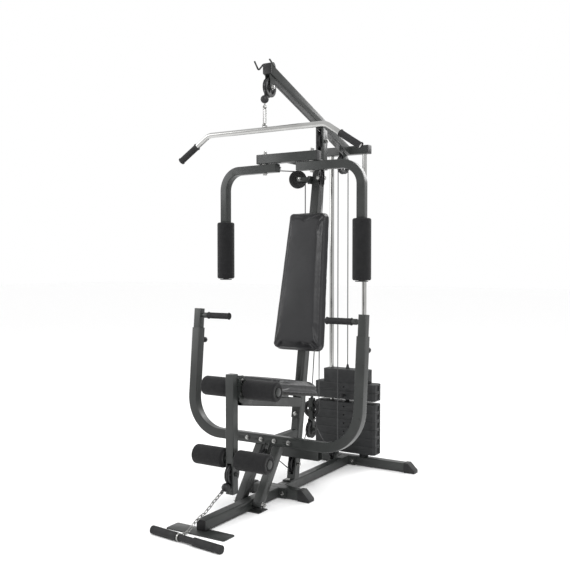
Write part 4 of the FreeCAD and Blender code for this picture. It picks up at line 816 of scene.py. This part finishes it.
class GYM_OT_cable_ball(bpy.types.Operator):
    """Moulded stopper ball over the end of the lat cable"""
    bl_idname = "gym.cable_ball"
    bl_label = "Cable ball"

    def execute(self, context):
        low, high = (Vector(v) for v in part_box("lat_link"))
        spot = Vector((0, (low.y + high.y) / 2, high.z - BALL_RADIUS + BALL_LIFT))
        outline = [(BALL_MOUTH, -BALL_RADIUS + BALL_LIP)]
        for k in range(1, BALL_STEPS):
            angle = math.pi * k / BALL_STEPS
            radius = BALL_RADIUS + (BALL_PARTING if k == BALL_STEPS // 2 else 0)
            outline.append((radius * math.sin(angle), -radius * math.cos(angle)))
        outline.append((BALL_MOUTH, BALL_RADIUS - BALL_LIP))
        bm = bmesh.new()
        lathe(bm, outline, Matrix.Translation(spot), 40)
        finish_mesh("lat_cable_ball", bm, "cap_plastic", "lat")
        return {"FINISHED"}


# ---------------------------------------------------------------- CAD pieces
BEVELS = {"frame_coat": 0.0007, "dark_steel": 0.0005, "plate_grey": 0.0022, "cap_plastic": 0.0010,
          "pulley_nylon": 0.0005, "zinc_steel": 0.0004, "board_wood": 0.0012, "buffer_rubber": 0.0012}
BEVEL_OVER = math.radians(40)
CREASE_OVER = math.radians(32)
WELD_DISTANCE = 0.00002


class GYM_OT_metalwork(bpy.types.Operator):
    """Finish, softened edges and smooth shading for every CAD piece that shows"""
    bl_idname = "gym.metalwork"
    bl_label = "Metalwork"

    def execute(self, context):
        slots = {part["node"]: part["material_slot"] for part in frame["record"]["subparts"]}
        for name, obj in frame["nodes"].items():
            slot = slots[name]
            for k in range(max(1, len(obj.material_slots))):
                if not obj.material_slots:
                    obj.data.materials.append(FINISHES[slot])
                obj.material_slots[k].material = FINISHES[slot]
            smooth(obj.data)
            weld = obj.modifiers.new("joined", "WELD")
            weld.merge_threshold = WELD_DISTANCE
            if slot in BEVELS:
                bevel = obj.modifiers.new("edges", "BEVEL")
                bevel.width = BEVELS[slot]
                bevel.segments = 2
                bevel.limit_method = "ANGLE"
                bevel.angle_limit = BEVEL_OVER
                bevel.use_clamp_overlap = True
                bevel.harden_normals = False
            split = obj.modifiers.new("creases", "EDGE_SPLIT")
            split.split_angle = CREASE_OVER
        return {"FINISHED"}


# ---------------------------------------------------------------- stage
FLOOR_REACH = 30.0
LAMP_AIM = (0, 0, 1.0)
# name, place, size in metres, power in watts
LAMPS = (("key", (2.6, -2.4, 3.4), 1.8, 110.0), ("fill", (-3.0, -1.8, 2.4), 2.4, 50.0),
         ("back", (0.6, 3.2, 3.0), 2.0, 60.0))


class GYM_OT_stage(bpy.types.Operator):
    """Pale floor, soft lights and the camera"""
    bl_idname = "gym.stage"
    bl_label = "Stage"

    def execute(self, context):
        settings = context.scene.gym_stage
        bm = bmesh.new()
        bmesh.ops.create_grid(bm, x_segments=1, y_segments=1, size=FLOOR_REACH)
        mesh = bpy.data.meshes.new("studio_floor")
        bm.to_mesh(mesh)
        bm.free()
        floor = link("studio_floor", mesh)
        made = Recipe("studio_floor", tuple(settings.floor), 0.85)
        floor.data.materials.append(made.material)

        world = context.scene.world or bpy.data.worlds.new("studio")
        context.scene.world = world
        world.use_nodes = True
        background = world.node_tree.nodes["Background"]
        background.inputs["Color"].default_value = (1, 1, 1, 1)
        background.inputs["Strength"].default_value = 1.0
        for name, place, size, power in LAMPS:
            lamp = bpy.data.lights.new(name, "AREA")
            lamp.size = size
            lamp.energy = power
            holder = bpy.data.objects.new(name, lamp)
            context.scene.collection.objects.link(holder)
            holder.location = place
            look = Vector(LAMP_AIM) - Vector(place)
            holder.rotation_euler = look.to_track_quat("-Z", "Y").to_euler()

        eye = bpy.data.cameras.new("camera")
        eye.lens = settings.lens
        eye.sensor_width = 36.0
        eye.clip_end = 200.0
        camera = bpy.data.objects.new("camera", eye)
        context.scene.collection.objects.link(camera)
        camera.location = settings.eye
        camera.rotation_euler = (math.pi / 2 - settings.pitch, 0, settings.heading)
        context.scene.camera = camera
        context.scene.view_settings.view_transform = "Standard"
        return {"FINISHED"}


# ---------------------------------------------------------------- panel and main
OPERATORS = (GYM_OT_metalwork, GYM_OT_cable_ball, GYM_OT_seat_pad, GYM_OT_back_pad, GYM_OT_rollers,
             GYM_OT_grips, GYM_OT_cables, GYM_OT_stage)


class GYM_PT_panel(bpy.types.Panel):
    """Lists the gym's pieces"""
    bl_idname = "GYM_PT_panel"
    bl_label = "Home Gym"
    bl_space_type = "VIEW_3D"
    bl_region_type = "UI"
    bl_category = "Home Gym"

    def draw(self, context):
        for operator in OPERATORS:
            self.layout.operator(operator.bl_idname)


GROUPS = {"gym_pads": PadSettings, "gym_rollers": RollerSettings, "gym_cables": CableSettings,
          "gym_finishes": FinishSettings, "gym_stage": StageSettings}
CLASSES = tuple(GROUPS.values()) + OPERATORS + (GYM_PT_panel,)


def register():
    for item in CLASSES:
        bpy.utils.register_class(item)
    for name, group in GROUPS.items():
        setattr(bpy.types.Scene, name, PointerProperty(type=group))


def unregister():
    for name in GROUPS:
        delattr(bpy.types.Scene, name)
    for item in reversed(CLASSES):
        bpy.utils.unregister_class(item)


def main():
    register()
    FINISHES.update(make_finishes())
    for operator in OPERATORS:
        group, name = operator.bl_idname.split(".")
        getattr(getattr(bpy.ops, group), name)()


if __name__ == "__main__":
    main()
